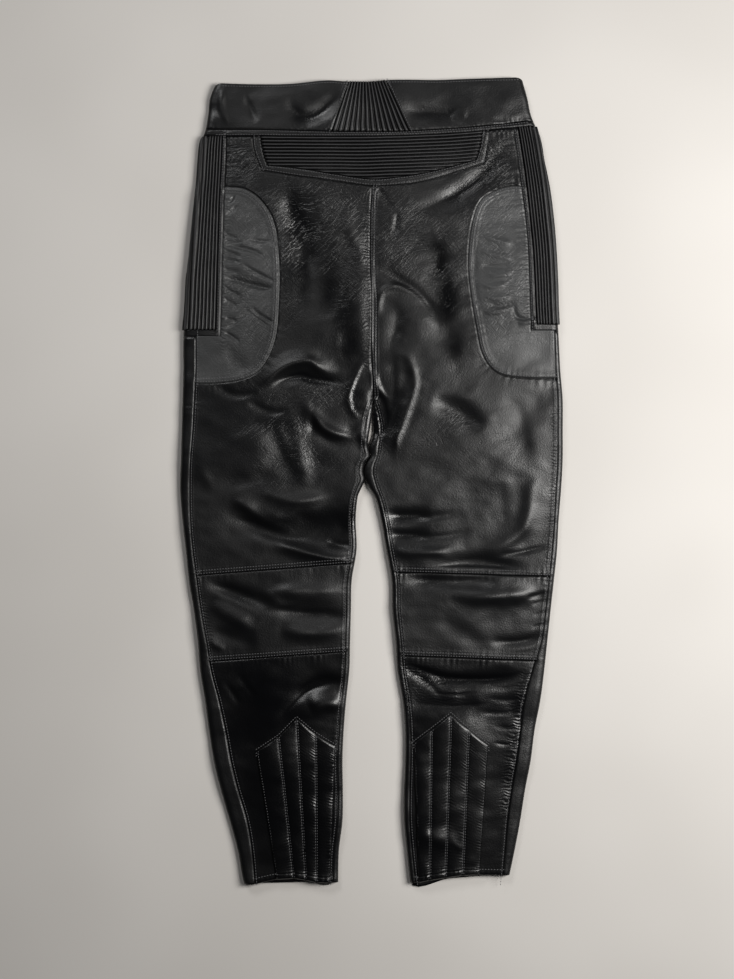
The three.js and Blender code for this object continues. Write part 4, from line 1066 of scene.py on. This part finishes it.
def stitch_tree():
    tree, given, output = new_tree("stitch_rows", [
        ("Pitch", "NodeSocketFloat"), ("Length", "NodeSocketFloat"),
        ("Thread", "NodeSocketFloat"), ("Material", "NodeSocketMaterial")])
    curve = add(tree, "GeometryNodeMeshToCurve", {"Mesh": given.outputs["Geometry"]})
    evenly = add(tree, "GeometryNodeResampleCurve", {
        "Curve": curve.outputs[0], "Length": given.outputs["Pitch"]}, mode="LENGTH")
    tangent = add(tree, "GeometryNodeInputTangent")
    turned = add(tree, "FunctionNodeAlignRotationToVector", {"Vector": tangent.outputs[0]},
                 axis="X")
    size = add(tree, "ShaderNodeCombineXYZ", {0: given.outputs["Length"],
                                               1: given.outputs["Thread"],
                                               2: given.outputs["Thread"]})
    stitch = add(tree, "GeometryNodeMeshUVSphere", {"Segments": 6, "Rings": 4, "Radius": 0.5})
    lying = add(tree, "GeometryNodeTransform", {"Geometry": stitch.outputs[0],
                                                 "Rotation": (0, math.pi / 2, 0)})
    laid = add(tree, "GeometryNodeInstanceOnPoints", {
        "Points": evenly.outputs[0], "Instance": lying.outputs[0],
        "Rotation": turned.outputs[0], "Scale": size.outputs[0]})
    finish_tree(tree, laid.outputs[0], given.outputs["Material"], output)
    return tree


def made(obj, tree, settings):
    """Runs a tree on an object and keeps the result as a plain mesh."""
    modifier = obj.modifiers.new("made", "NODES")
    modifier.node_group = tree
    names = {item.name: item.identifier for item in tree.interface.items_tree
             if item.in_out == "INPUT"}
    for label, value in settings.items():
        modifier[names[label]] = value
    depsgraph = bpy.context.evaluated_depsgraph_get()
    mesh = bpy.data.meshes.new_from_object(obj.evaluated_get(depsgraph))
    obj.modifiers.remove(modifier)
    obj.data = mesh
    mesh.name = obj.name
    mesh.polygons.foreach_set("use_smooth", np.ones(len(mesh.polygons), bool))
    return obj


RIB_TREE = rib_tree()
STITCH_TREE = stitch_tree()


def ribbed(obj):
    return made(obj, RIB_TREE, {"Rise": RIB_RISE * MM, "Fullness": 1.0, "Material": RIBBED})


# Panels
FINE = 8                   # finer rows for each row of the plain solids
CALF_FINE = 7
FRONT_FINE = 6
BINDING_ROWS = (3, 8)      # rows of the plain solid along the binding, above and beside the hip
YOKE_ROWS = (3, 14)        # along an end and along the foot of the yoke
CROTCH_CROWDING = 1.6      # the centre seam's rows lie closer together towards the crotch


def leg_rows(side, start, end, count):
    a, b = LEG_ROWS[side][start], LEG_ROWS[side][end]
    t = crowded(count, 1.0)
    return mix(a[0], b[0], t), mix(a[1], b[1], t)


def binding_line(side):
    """Inner line of the binding, from the waist seam strip down to its end."""
    above, beside = BINDING_ROWS
    top = strip_low(binding_inner[side](WAIST_Y))
    hip = HIP_CURVES[side][0][1]
    y = np.concatenate([mix(top, hip, steps(above * FINE)),
                        mix(hip, BINDING_END[side], steps(beside * FINE))[1:]])
    return upright(binding_inner[side], y)


def yoke_half(lines, side):
    """Half of a yoke line, from the waist seam strip to the centre."""
    end_rows, foot_rows = YOKE_ROWS
    end = spaced(lines[side + "_end"], end_rows * FINE)
    foot = spaced(lines["foot"], foot_rows * FINE)
    half = foot_rows * FINE // 2
    if side == "left":
        return np.vstack([end, foot[1:half + 1]])
    return np.vstack([end[::-1], foot[half:-1][::-1]])


def seat(side):
    strip = binding_line(side)[:BINDING_ROWS[0] * FINE]
    curve = spaced(HIP_CURVES[side], 20 * FINE)
    out_crotch, in_crotch = LEG_ROWS[side]["crotch"]
    tail = upright(outseam[side], mix(curve[-1, 1], out_crotch, steps(FINE))[1:])
    outer = np.vstack([strip, curve, tail])
    top = spaced(YOKE_OUTER["foot"], 2)[1]
    down = (1 - steps(YOKE_ROWS[1] * FINE)) ** CROTCH_CROWDING
    centre = upright(centre_x, mix(in_crotch, top[1], down)[1:])
    inner = np.vstack([yoke_half(YOKE_OUTER, side), centre])
    shares = crowded(98)
    torso = rows_between(outer, inner, shares)
    out_y, in_y = leg_rows(side, "fork", "knee_top", 100)
    thigh = rows_between(upright(outseam[side], out_y), upright(inseam[side], in_y), shares)
    link = mix(torso[-1], thigh[0], steps(6)[1:-1, None, None])
    return panel(f"leather_seat_{side}", f"seat_{side}", "leather", HIDE,
                 [top_of(np.concatenate([torso, link, thigh]))])


def hip_panel(side):
    """Two grids, beside the binding and below it. Of the curve's length, 0.2 runs over the
    first grid, 0.4 beside it, 0.1 beside the second grid and 0.3 below it."""
    across, down = crowded(58, 2.2, 0.12), crowded(110, 1.5, 0.07)
    low, ledge_share = crowded(26, 1.5, 0.3), steps(14)
    lines = HIP_CURVES[side]
    top, far = placed(lines, 0.2 * across), placed(lines, 0.2 + 0.4 * down)
    near = upright(binding_inner[side], mix(lines[0][1], BINDING_END[side], down))
    foot = mix(near[-1], far[-1], across[:, None])
    beside = between(near, far, top, foot, across, down)
    below_near = upright(outseam[side], mix(BINDING_END[side], lines[-1][1], low))
    below_far = placed(lines, 0.6 + 0.1 * low)
    ledge = mix(np.array([below_near[0, 0], BINDING_END[side]]), near[-1],
                ledge_share[:-1, None])
    below_top = np.vstack([ledge, foot])
    wide = np.concatenate([ledge_share[:-1] / 3, 1 / 3 + across * 2 / 3])
    below_foot = placed(lines, 1 - 0.3 * wide)
    below_foot[0] = below_near[-1]
    below = between(below_near, below_far, below_top, below_foot, wide, low)
    return panel(f"leather_hip_{side}", f"hip_panel_{side}", "hip_leather", HIP_HIDE_PAINTED_SHEEN,
                 [top_of(beside), top_of(below)])


def side_stretch(side):
    edge = outer_edge[side]
    down = crowded(60, 1.5)[:, None]
    edge_y = mix(strip_low(edge[0](WAIST_Y)), STRETCH_END[side], down)
    inner_y = mix(strip_low(binding_outer[side](WAIST_Y)), STRETCH_END[side], down)
    reach = np.abs(binding_outer[side](inner_y) - edge[0](edge_y))
    share = steps(RIBS["side"] * 9)[None]
    inset = mix(reach, -WRAP_UNDER, share)
    y = mix(edge_y, inner_y, np.maximum(inset, 0) / reach)
    rib = np.where(inset > 0, RIBS["side"] * share, 0) + 0 * y
    return ribbed(panel(f"ribbed_side_{side}", f"side_stretch_{side}", "ribbed_stretch",
                        RIBBED, [side_point(edge, y, inset)], rib))


def binding(side):
    """The upright strip, and the foot that turns out and wraps round the side."""
    edge = outer_edge[side]
    inner = binding_line(side)
    outer = upright(binding_outer[side], mix(strip_low(binding_outer[side](WAIST_Y)),
                                             STRETCH_END[side], steps(len(inner) - 1)))
    share = steps(8)
    strip = top_of(rows_between(outer, inner, share))
    y = mix(STRETCH_END[side], BINDING_END[side], share)[:, None]
    corner = mix(outer[-1], inner[-1], share[:, None])
    reach = np.abs(corner[:, :1] - edge[0](y))
    flat = mix(reach, OUTER_ROLL, steps(9)[None])
    turned = np.array([OUTER_ROLL * t for t in (0.85, 0.7, 0.55, 0.4, 0.25, 0.1, 0)]
                      + [-UNDER_ROLL * t for t in (0.25, 0.5, 0.75, 1)] + [-WRAP_UNDER])
    inset = np.hstack([flat, np.broadcast_to(turned, (len(y), len(turned)))])
    foot = side_point(edge, y + 0 * inset, inset)
    foot[:, 0] = strip[-1]
    return panel(f"leather_binding_{side}", f"side_binding_{side}", "leather", HIDE,
                 [strip, foot])


def knee_band(side):
    out_y, in_y = leg_rows(side, "knee_top", "knee_low", 56)
    grid = rows_between(upright(outseam[side], out_y), upright(inseam[side], in_y), crowded(92))
    return panel(f"leather_knee_{side}", f"knee_band_{side}", "leather", HIDE, [top_of(grid)])


CALF_SPLITS = (2, 2, 2, 2, 2, 1)      # rows of the plain solid between neighbouring calf lines
PATCH_LENGTH = 205         # from the roof of a calf patch to its hem
PUCKER_LENGTH = 3.9        # of one pucker across a channel


def calf_line(side, down, fine):
    """Places across the calf at one height between the patch's roof and the hem."""
    marks = np.array([(mix(a, c, down), mix(b, d, down)) for a, b, c, d in CALF_LINES[side]])
    marks[0, 0] = outseam[side](marks[0, 1])
    marks[-1, 0] = inseam[side](marks[-1, 1])
    places = [marks[:1]]
    for a, b, parts in zip(marks[:-1], marks[1:], CALF_SPLITS):
        places.append(mix(a, b, steps(parts * fine)[1:, None]))
    return np.vstack(places)


def calf_grid(side, fine, upper_rows, lower_rows):
    """Rows from the knee seam to the patch's roof, and from there to the hem."""
    roof = calf_line(side, 0, fine)
    out_y, in_y = LEG_ROWS[side]["knee_low"]
    outer = np.array((outseam[side](out_y), out_y))
    inner = np.array((inseam[side](in_y), in_y))
    t = ((roof[:, 0] - roof[0, 0]) / (roof[-1, 0] - roof[0, 0]))[:, None]
    start = mix(outer, inner, t)
    upper = []
    for down in crowded(upper_rows, 1.5)[:-1]:
        row = mix(start, roof, down)
        for end, seam in ((0, outseam[side]), (-1, inseam[side])):
            row[end, 0] = seam(row[end, 1])
        upper.append(row)
    lower = [calf_line(side, down, fine) for down in crowded(lower_rows, 0.5)]
    return np.array(upper), np.array(lower)


def calf(side):
    upper, lower = calf_grid(side, CALF_FINE, 52, 72)
    return panel(f"leather_calf_{side}", f"calf_{side}", "leather", CALF_HIDE,
                 [top_of(np.concatenate([upper, lower]))])


def patch_relief(rows, columns):
    """Padded channels between the stitched lines, with fine puckers across them."""
    down = steps(rows - 1)[:, None]
    channel = np.linspace(0, 4, columns)[None]
    bulge = np.abs(np.sin(math.pi * channel)) ** 0.5
    along = down * PATCH_LENGTH
    sway = 1.8 * np.sin(along * 0.11 + channel * 1.3)
    gather = np.sin(2 * math.pi * along / PUCKER_LENGTH + sway + channel * 5)
    gather *= 0.55 + 0.45 * np.sin(along * 0.21 + channel * 2.4)
    beside = np.exp(-((channel - np.round(channel)) / 0.3) ** 2) * np.minimum(bulge * 2, 1)
    ends = np.clip(np.minimum(down, 1 - down) * 40, 0, 1) ** 0.5
    return (CHANNEL_RISE * bulge + 0.2 * gather * beside) * ends


def calf_patch(side):
    _, lower = calf_grid(side, FINE, 4, 230)
    grid = lower[:, CALF_SPLITS[0] * FINE:sum(CALF_SPLITS[:5]) * FINE + 1]
    x, y = grid[..., 0], grid[..., 1]
    under = body(x, y) + relief(x, y) + SEAM_GAP
    top = under + PATCH_WALL + patch_relief(*x.shape)
    return panel(f"leather_patch_{side}", f"calf_patch_{side}", "leather", CALF_HIDE,
                 [np.stack([x, y, top, x, y, under], -1)])


def yoke_frame():
    end_points, foot_points = (rows * FINE for rows in YOKE_ROWS)
    outer, inner = (np.vstack([spaced(lines["left_end"], end_points),
                               spaced(lines["foot"], foot_points)[1:],
                               spaced(lines["right_end"], end_points)[1:]])
                    for lines in (YOKE_OUTER, YOKE_INNER))
    return panel("leather_yoke_frame", "yoke_frame", "leather", HIDE,
                 [top_of(rows_between(outer, inner, steps(10)))])


def yoke_stretch():
    rows, columns = 140, 72
    near = spaced(YOKE_INNER["left_end"], rows)
    far = spaced(YOKE_INNER["right_end"], rows)[::-1]
    foot = spaced(YOKE_INNER["foot"], columns)
    top = level(mix(near[0, 0], far[0, 0], steps(columns)), strip_low)
    grid = between(near, far, top, foot)
    x, y = grid[..., 0], grid[..., 1]
    rib = (strip_low(x) - y) / YOKE_RIB_PITCH + 0.02 * np.sin(x / 9)
    return ribbed(panel("ribbed_yoke", "yoke_stretch", "ribbed_stretch", RIBBED,
                        [top_of(grid)], rib))


BAND_CORNER = 5            # radius of the waistband's upper corner at the side
BAND_BLEND = 30            # width over which its rounded rows run into the level ones


def waistband_back(side):
    edge = outer_edge[side]
    high, low = BAND_SIDE_HEIGHTS[side]
    down = crowded(30, 2.0)[:, None]
    y = mix(high, low, down)
    inset = np.concatenate([[-BAND_UNDER, -2 * UNDER_ROLL], np.linspace(-UNDER_ROLL, 0, 5),
                            np.linspace(0, OUTER_ROLL, 8)[1:]])[None]
    rounding = BAND_CORNER * np.clip(1 - inset / OUTER_ROLL, 0, 1) ** 2 * (1 - down)
    turned = side_point(edge, y - rounding, inset + 0 * y)
    start = edge[0](y) + edge[1] * OUTER_ROLL
    ends = insert_end(side, down[:, 0])
    x = mix(start, ends[:, :1], crowded(84, 1.0)[None, 1:])
    start_y = mix(waist_top(start), strip_top(start), down)
    blend = np.clip((x - start) * edge[1] / BAND_BLEND, 0, 1)
    flat_y = mix(waist_top(x), strip_top(x), down) + (y - start_y) * (1 - blend)
    flat_y[:, -1] = ends[:, 1]
    grid = np.concatenate([turned, on_top(x, flat_y)], 1)
    return panel(f"leather_waistband_{side}", f"waistband_back_{side}", "leather", HIDE, [grid])


def waistband_stretch():
    down = crowded(24, 2.0)
    left, right = insert_end("left", down), insert_end("right", down)
    share = steps(2 * RIBS["insert"] * 5)
    x = mix(left[:, :1], right[:, :1], share[None])
    y = mix(waist_top(x), strip_top(x), down[:, None])
    rib = RIBS["insert"] * share[None] + 0 * x
    return ribbed(panel("ribbed_waist_insert", "waistband_stretch", "ribbed_stretch", RIBBED,
                        [on_top(x, y)], rib))


def waist_strip():
    share = steps(8)[:, None]
    wraps, starts = {}, {}
    inset = np.concatenate([np.linspace(OUTER_ROLL, 0, 8), np.linspace(0, -UNDER_ROLL, 5)[1:],
                            [-WRAP_UNDER]])[None]
    for side in SIDES_OF_BODY:
        edge = outer_edge[side]
        high, low = STRIP_SIDE_HEIGHTS[side]
        y = mix(high, low, share)
        wraps[side] = side_point(edge, y + 0 * inset, inset + 0 * y)
        starts[side] = edge[0](y) + edge[1] * OUTER_ROLL
    x = mix(starts["left"], starts["right"], steps(190)[None, 1:-1])
    y = mix(strip_top(x), strip_low(x), share)
    grid = np.concatenate([wraps["left"][:, ::-1], on_top(x, y), wraps["right"]], 1)
    return panel("leather_waist_strip", "waist_strip", "leather", HIDE, [grid])


# Underneath
SIDE_ROWS = 7              # rows of the plain solid along the side stretch and along the fly
FLY_ROWS = 6
FRONT_CROTCH = (103, 107)  # y at the side and at the centre front
FLAP_BAND = (-478, 16)     # a hem flap starts below this y and is whole so much lower
WAIST_BAND = (400, 35)     # above this y, over so much height, the first row bends to the strip


def front_rows(side, fine):
    """Rows of the front above the crotch: y at the side and at the centre front."""
    marks = [strip_low(outer_edge[side][0](WAIST_Y)), STRETCH_END[side], BINDING_END[side],
             HIP_CURVES[side][-1][1], FRONT_CROTCH[0]]
    outs = [mix(a, b, steps(rows * fine))
            for a, b, rows in zip(marks[:-1], marks[1:], (SIDE_ROWS, 1, 2, 1))]
    outs = np.concatenate(outs[:1] + [part[1:] for part in outs[1:]])
    return outs, mix(strip_low(0), FRONT_CROTCH[1], steps(len(outs) - 1))


# Where the hem of the front shows below the back: how far, how wide to its blunt end, its
# middle, and the width over which it tapers
HEM_FLAPS = {"left": (5.5, 12, -57, 16), "right": (8, 40, 64, 30)}


def floor_rows(side, out_y, in_y, inner_x):
    """Rows of the front on the floor, from the wrapped side to the inner edge."""
    edge = outer_edge[side]
    start = edge[0](out_y) + edge[1] * WRAP_UNDER
    share = steps(12)[None]
    x = mix(start[:, None], np.asarray(inner_x)[:, None], share)
    y = mix(out_y[:, None], in_y[:, None], share)
    out, blunt, middle, taper = HEM_FLAPS[side]
    flap = out * np.clip(1 - np.abs(x - middle) / taper, 0, 1)
    flap = flap * np.clip((middle + blunt - x) / 4, 0, 1)
    y = y - flap * np.clip((FLAP_BAND[0] - y) / FLAP_BAND[1], 0, 1)
    waist = np.clip((y - WAIST_BAND[0]) / WAIST_BAND[1], 0, 1)
    y = y + (strip_low(x) - y) * waist * (np.arange(len(out_y)) == 0)[:, None]
    return on_floor(x, y)


def wrapped(edge, y, seam_x):
    """A strip round a folded edge, from a seam on the top to a line underneath."""
    reach = np.abs(seam_x - edge[0](y))
    roll = np.minimum(OUTER_ROLL, reach * ROLL_SHARE)
    inset = mix(reach[:, None], roll[:, None], steps(4)[None, :-1])
    flat = on_top(edge[0](y)[:, None] + edge[1] * inset, y[:, None])
    turn = np.linspace(90, -90, 15)[None]
    folded = on_fold(edge, y[:, None], turn, roll[:, None])
    return np.concatenate([flat, folded], 1)


def fly_gap(rows, fine):
    """Half the width left open for the placket at each row, tapered at its foot."""
    return FLY_HALF * np.clip(FLY_ROWS + 1 - np.arange(rows) / fine, 0, 1)


def front(side):
    sign = -1 if side == "left" else 1
    edge, inner = outer_edge[side], inner_edge[side]
    top_out, top_in = front_rows(side, FRONT_FINE)
    legs = [leg_rows(side, "fork", "knee_top", 90), leg_rows(side, "knee_top", "knee_low", 40)]
    lines = CALF_LINES[side]
    marks = [LEG_ROWS[side]["knee_low"], (lines[0][1], lines[-1][1]),
             (lines[0][3], lines[-1][3])]
    for a, b, count in zip(marks[:-1], marks[1:], (32, 60)):
        legs.append((mix(a[0], b[0], steps(count)), mix(a[1], b[1], steps(count))))
    leg_out, leg_in = (np.concatenate([legs[0][k]] + [rows[k][1:] for rows in legs[1:]])
                       for k in (0, 1))
    floor_out, floor_in = np.concatenate([top_out, leg_out]), np.concatenate([top_in, leg_in])
    inner_x = np.concatenate([
        centre_x(FRONT_CROTCH[1]) + sign * fly_gap(len(top_out), FRONT_FINE),
        inner[0](leg_in) + inner[1] * UNDER_ROLL])
    floor = floor_rows(side, floor_out, floor_in, inner_x)
    first = (SIDE_ROWS + 1) * FRONT_FINE
    outer_y = np.concatenate([top_out[first:], leg_out])
    outer_wrap = np.concatenate([wrapped(edge, outer_y, outseam[side](outer_y)),
                                 floor[first:, :1]], 1)
    inner_wrap = wrapped(inner, leg_in, inseam[side](leg_in))
    return panel(f"leather_front_{side}", f"front_{side}", "leather", HIDE,
                 [floor, outer_wrap, inner_wrap])


def fly_placket():
    rows = (FLY_ROWS + 1) * FRONT_FINE
    y = front_rows("left", FRONT_FINE)[1][:rows]
    x = centre_x(FRONT_CROTCH[1]) + fly_gap(rows, FRONT_FINE)[:, None] * np.linspace(-1, 1, 9)
    return panel("leather_fly_placket", "fly_placket", "leather", HIDE,
                 [on_floor(x, y[:, None] + 0 * x)])


def waistband_front(side):
    edge = outer_edge[side]
    high, low = BAND_SIDE_HEIGHTS[side]
    rows = []
    for down, side_y in ((0, high - FRONT_DROP), (1, STRIP_SIDE_HEIGHTS[side][1])):
        start = edge[0](mix(high, low, down)) + edge[1] * (BAND_UNDER + SEAM_GAP)
        x = mix(start, centre_x(FRONT_CROTCH[1]), steps(40))
        y = strip_low(x) if down else waist_top(x) - FRONT_DROP
        y[0] = side_y
        rows.append(np.stack([x, y], -1))
    grid = mix(rows[0][None], rows[1][None], steps(12)[:, None, None])
    return panel(f"leather_front_waistband_{side}", f"waistband_front_{side}", "leather",
                 HIDE, [floor_of(grid)])


PIECES = {}
for side in SIDES_OF_BODY:
    for make in (seat, hip_panel, side_stretch, binding, knee_band, calf, calf_patch, front,
                 waistband_back, waistband_front):
        PIECES[f"{make.__name__}_{side}"] = make(side)
for make in (yoke_frame, yoke_stretch, waistband_stretch, waist_strip, fly_placket):
    PIECES[make.__name__] = make()


# Stitching
STITCH = {"Pitch": 3.4 * MM, "Length": 2.4 * MM, "Thread": 0.9 * MM}
THREAD_HEIGHT = 0.45       # of the middle of a stitch over the leather
# Rows of stitches down a calf patch: the channel line beside them, and how far across from it
CHANNEL_STITCHES = [(0, 1.8), (0, 4.6), (1, -1.1), (1, 1.1), (2, -1.1), (2, 1.1),
                    (3, -1.1), (3, 1.1), (4, -4.6), (4, -1.8)]
ROOF_STITCHES = (2.2, 5.4)  # below the edge of the patch's roof


def offset(path, distance):
    """A line beside a path, at a distance to its left."""
    run = np.gradient(path, axis=0)
    run /= np.hypot(run[:, 0], run[:, 1])[:, None]
    return path + distance * np.stack([-run[:, 1], run[:, 0]], -1)


def evenly(path, pitch=2.5):
    run = run_of(path)
    return at_lengths(path, run, np.linspace(0, run[-1], max(int(run[-1] / pitch), 2) + 1))


def stitches(name, rows, lift=0.0):
    """Raised stitches along rows of places on the leather."""
    places, edges, start = [], [], 0
    for row in rows:
        row = evenly(np.asarray(row, float))
        x, y = row.T
        places.append(np.column_stack([row, body(x, y) + relief(x, y) + THREAD_HEIGHT + lift]))
        edges += [(start + i, start + i + 1) for i in range(len(row) - 1)]
        start += len(row)
    mesh = bpy.data.meshes.new(f"stitching_{name}")
    mesh.from_pydata((np.vstack(places) * MM).tolist(), edges, [])
    obj = bpy.data.objects.new(mesh.name, mesh)
    bpy.context.collection.objects.link(obj)
    return made(obj, STITCH_TREE, {**STITCH, "Material": THREAD})


def seam_rows(*names):
    """All the rows of stitches beside the named seams."""
    return [offset(SEAMS[name][0], row) for name in names for row in SEAMS[name][2]]


def patch_stitches(side, turn):
    """Rows of stitches on a calf patch, and those on the calf above and beside it."""
    lines = CALF_LINES[side][1:6]
    roof = np.array([(a, b) for a, b, _, _ in lines])
    hem = np.array([(c, d) for _, _, c, d in lines])
    hem_row = offset(SEAMS[f"hem_{side}"][0], turn * HEM)
    share = np.linspace(0.02, 0.98, 40)[:, None]
    channels = [mix(roof[k], hem[k], share) + (shift * turn, 0) for k, shift in CHANNEL_STITCHES]
    on_patch = channels + [roof - (0, drop) for drop in ROOF_STITCHES] + [hem_row[1:-1]]
    return on_patch, [roof + (0, BESIDE), hem_row[:2], hem_row[-2:]]


# Seams that one piece of stitching follows on each side
SEWN_SEAMS = {
    "hip": ["hip"], "knee": ["knee_top", "knee_low"], "binding": ["binding_in", "binding_out"],
    "waistband": ["insert"], "leg": ["outseam", "inseam"],
}
THREADS = {}
for side, turn in (("left", 1), ("right", -1)):
    for name, joined in SEWN_SEAMS.items():
        rows = seam_rows(*(f"{seam}_{side}" for seam in joined))
        if name == "hip" and side == "right":
            rows += seam_rows("centre")
        THREADS[f"{name}_{side}"] = stitches(f"{name}_{side}", rows)
    on_patch, on_calf = patch_stitches(side, turn)
    THREADS[f"patch_{side}"] = stitches(f"patch_{side}", on_patch, PATCH_WALL + SEAM_GAP)
    THREADS[f"calf_{side}"] = stitches(f"calf_{side}", on_calf)
THREADS["yoke"] = stitches("yoke", seam_rows(
    *(f"yoke_{edge}_{part}" for edge in ("out", "in") for part in YOKE_PARTS)))
THREADS["waist"] = stitches("waist", [
    across_waist(strip_low, -192, 194) + (0, 1.7), across_waist(strip_top, -192, 194) - (0, 1.5),
    across_waist(waist_top, -184, -30) - (0, 3.0), across_waist(waist_top, 20, 182) - (0, 3.0)])


# Riding on the root, and the stitching that goes with each cut
# Stitching that goes with a cut, by the cut's name without its side
SEWN_WITH = {
    "hip_panel": "hip", "knee_band": "knee", "binding": "binding", "seat": "leg",
    "waistband_back": "waistband", "calf_patch": "patch", "calf": "calf", "yoke_frame": "yoke",
    "waist_strip": "waist",
}

for piece in PIECES.values():
    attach(piece, "root")
    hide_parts(piece["node"])
for piece in THREADS.values():
    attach(piece, "root")
for key, piece in PIECES.items():
    name, _, side = key.rpartition("_")
    paired = side in SIDES_OF_BODY
    cut = name if paired else key
    thread = SEWN_WITH.get(cut)
    thread = thread and THREADS[f"{thread}_{side}" if paired else thread]


# Floor, light and camera
FLOOR_HALF = 4.0           # metres
FLOOR_LEVEL = -0.0005


def pale_floor():
    material, tree, shader = new_material("pale_floor")
    cloud = noise(tree, object_place(tree), 2.2, 2.0)
    two_tone(tree, shader, ramp(tree, cloud, 0.3, 0.7), (0.60, 0.575, 0.545),
             (0.66, 0.635, 0.605))
    shader.inputs["Roughness"].default_value = 0.7
    mesh = bpy.data.meshes.new("floor")
    corners = [(x * FLOOR_HALF, y * FLOOR_HALF, 0)
               for x, y in ((-1, -1), (1, -1), (1, 1), (-1, 1))]
    mesh.from_pydata(corners, [], [(0, 1, 2, 3)])
    mesh.materials.append(material)
    floor = bpy.data.objects.new("floor", mesh)
    floor.location.z = FLOOR_LEVEL
    bpy.context.collection.objects.link(floor)
    return floor


LIGHT_AIM = (0, 0, 0.01)   # the middle of the trousers, in metres


def area_light(name, place, size, power, colour=(1, 1, 1)):
    light = bpy.data.lights.new(name, "AREA")
    light.shape, light.size, light.size_y = "RECTANGLE", size[0], size[1]
    light.energy, light.color = power, colour
    obj = bpy.data.objects.new(name, light)
    obj.location = place
    aim = Vector(LIGHT_AIM) - Vector(place)
    obj.rotation_euler = aim.to_track_quat("-Z", "Y").to_euler()
    bpy.context.collection.objects.link(obj)


pale_floor()
area_light("window_light", (1.08, 0.15, 1.3), (0.55, 1.0), 34, (1, 0.985, 0.96))
area_light("ceiling_light", (-1.0, 1.8, 1.7), (1.0, 0.7), 18)
world = bpy.data.worlds.new("studio")
world.use_nodes = True
background = world.node_tree.nodes["Background"]
background.inputs["Color"].default_value = (0.92, 0.95, 1, 1)
background.inputs["Strength"].default_value = 0.024
bpy.context.scene.world = world
bpy.context.scene.view_settings.view_transform = "Standard"

PHOTO_HEIGHT = 1.22375     # metres of floor that the frame covers
PHOTO_MIDDLE = (-0.005, -0.00875)
CAMERA_HEIGHT = 1.95
SENSOR = 36
lens = bpy.data.cameras.new("camera")
lens.sensor_fit, lens.sensor_height = "VERTICAL", SENSOR
lens.lens = SENSOR * CAMERA_HEIGHT / PHOTO_HEIGHT
camera = bpy.data.objects.new("camera", lens)
camera.location = (*PHOTO_MIDDLE, CAMERA_HEIGHT)
bpy.context.collection.objects.link(camera)
bpy.context.scene.camera = camera
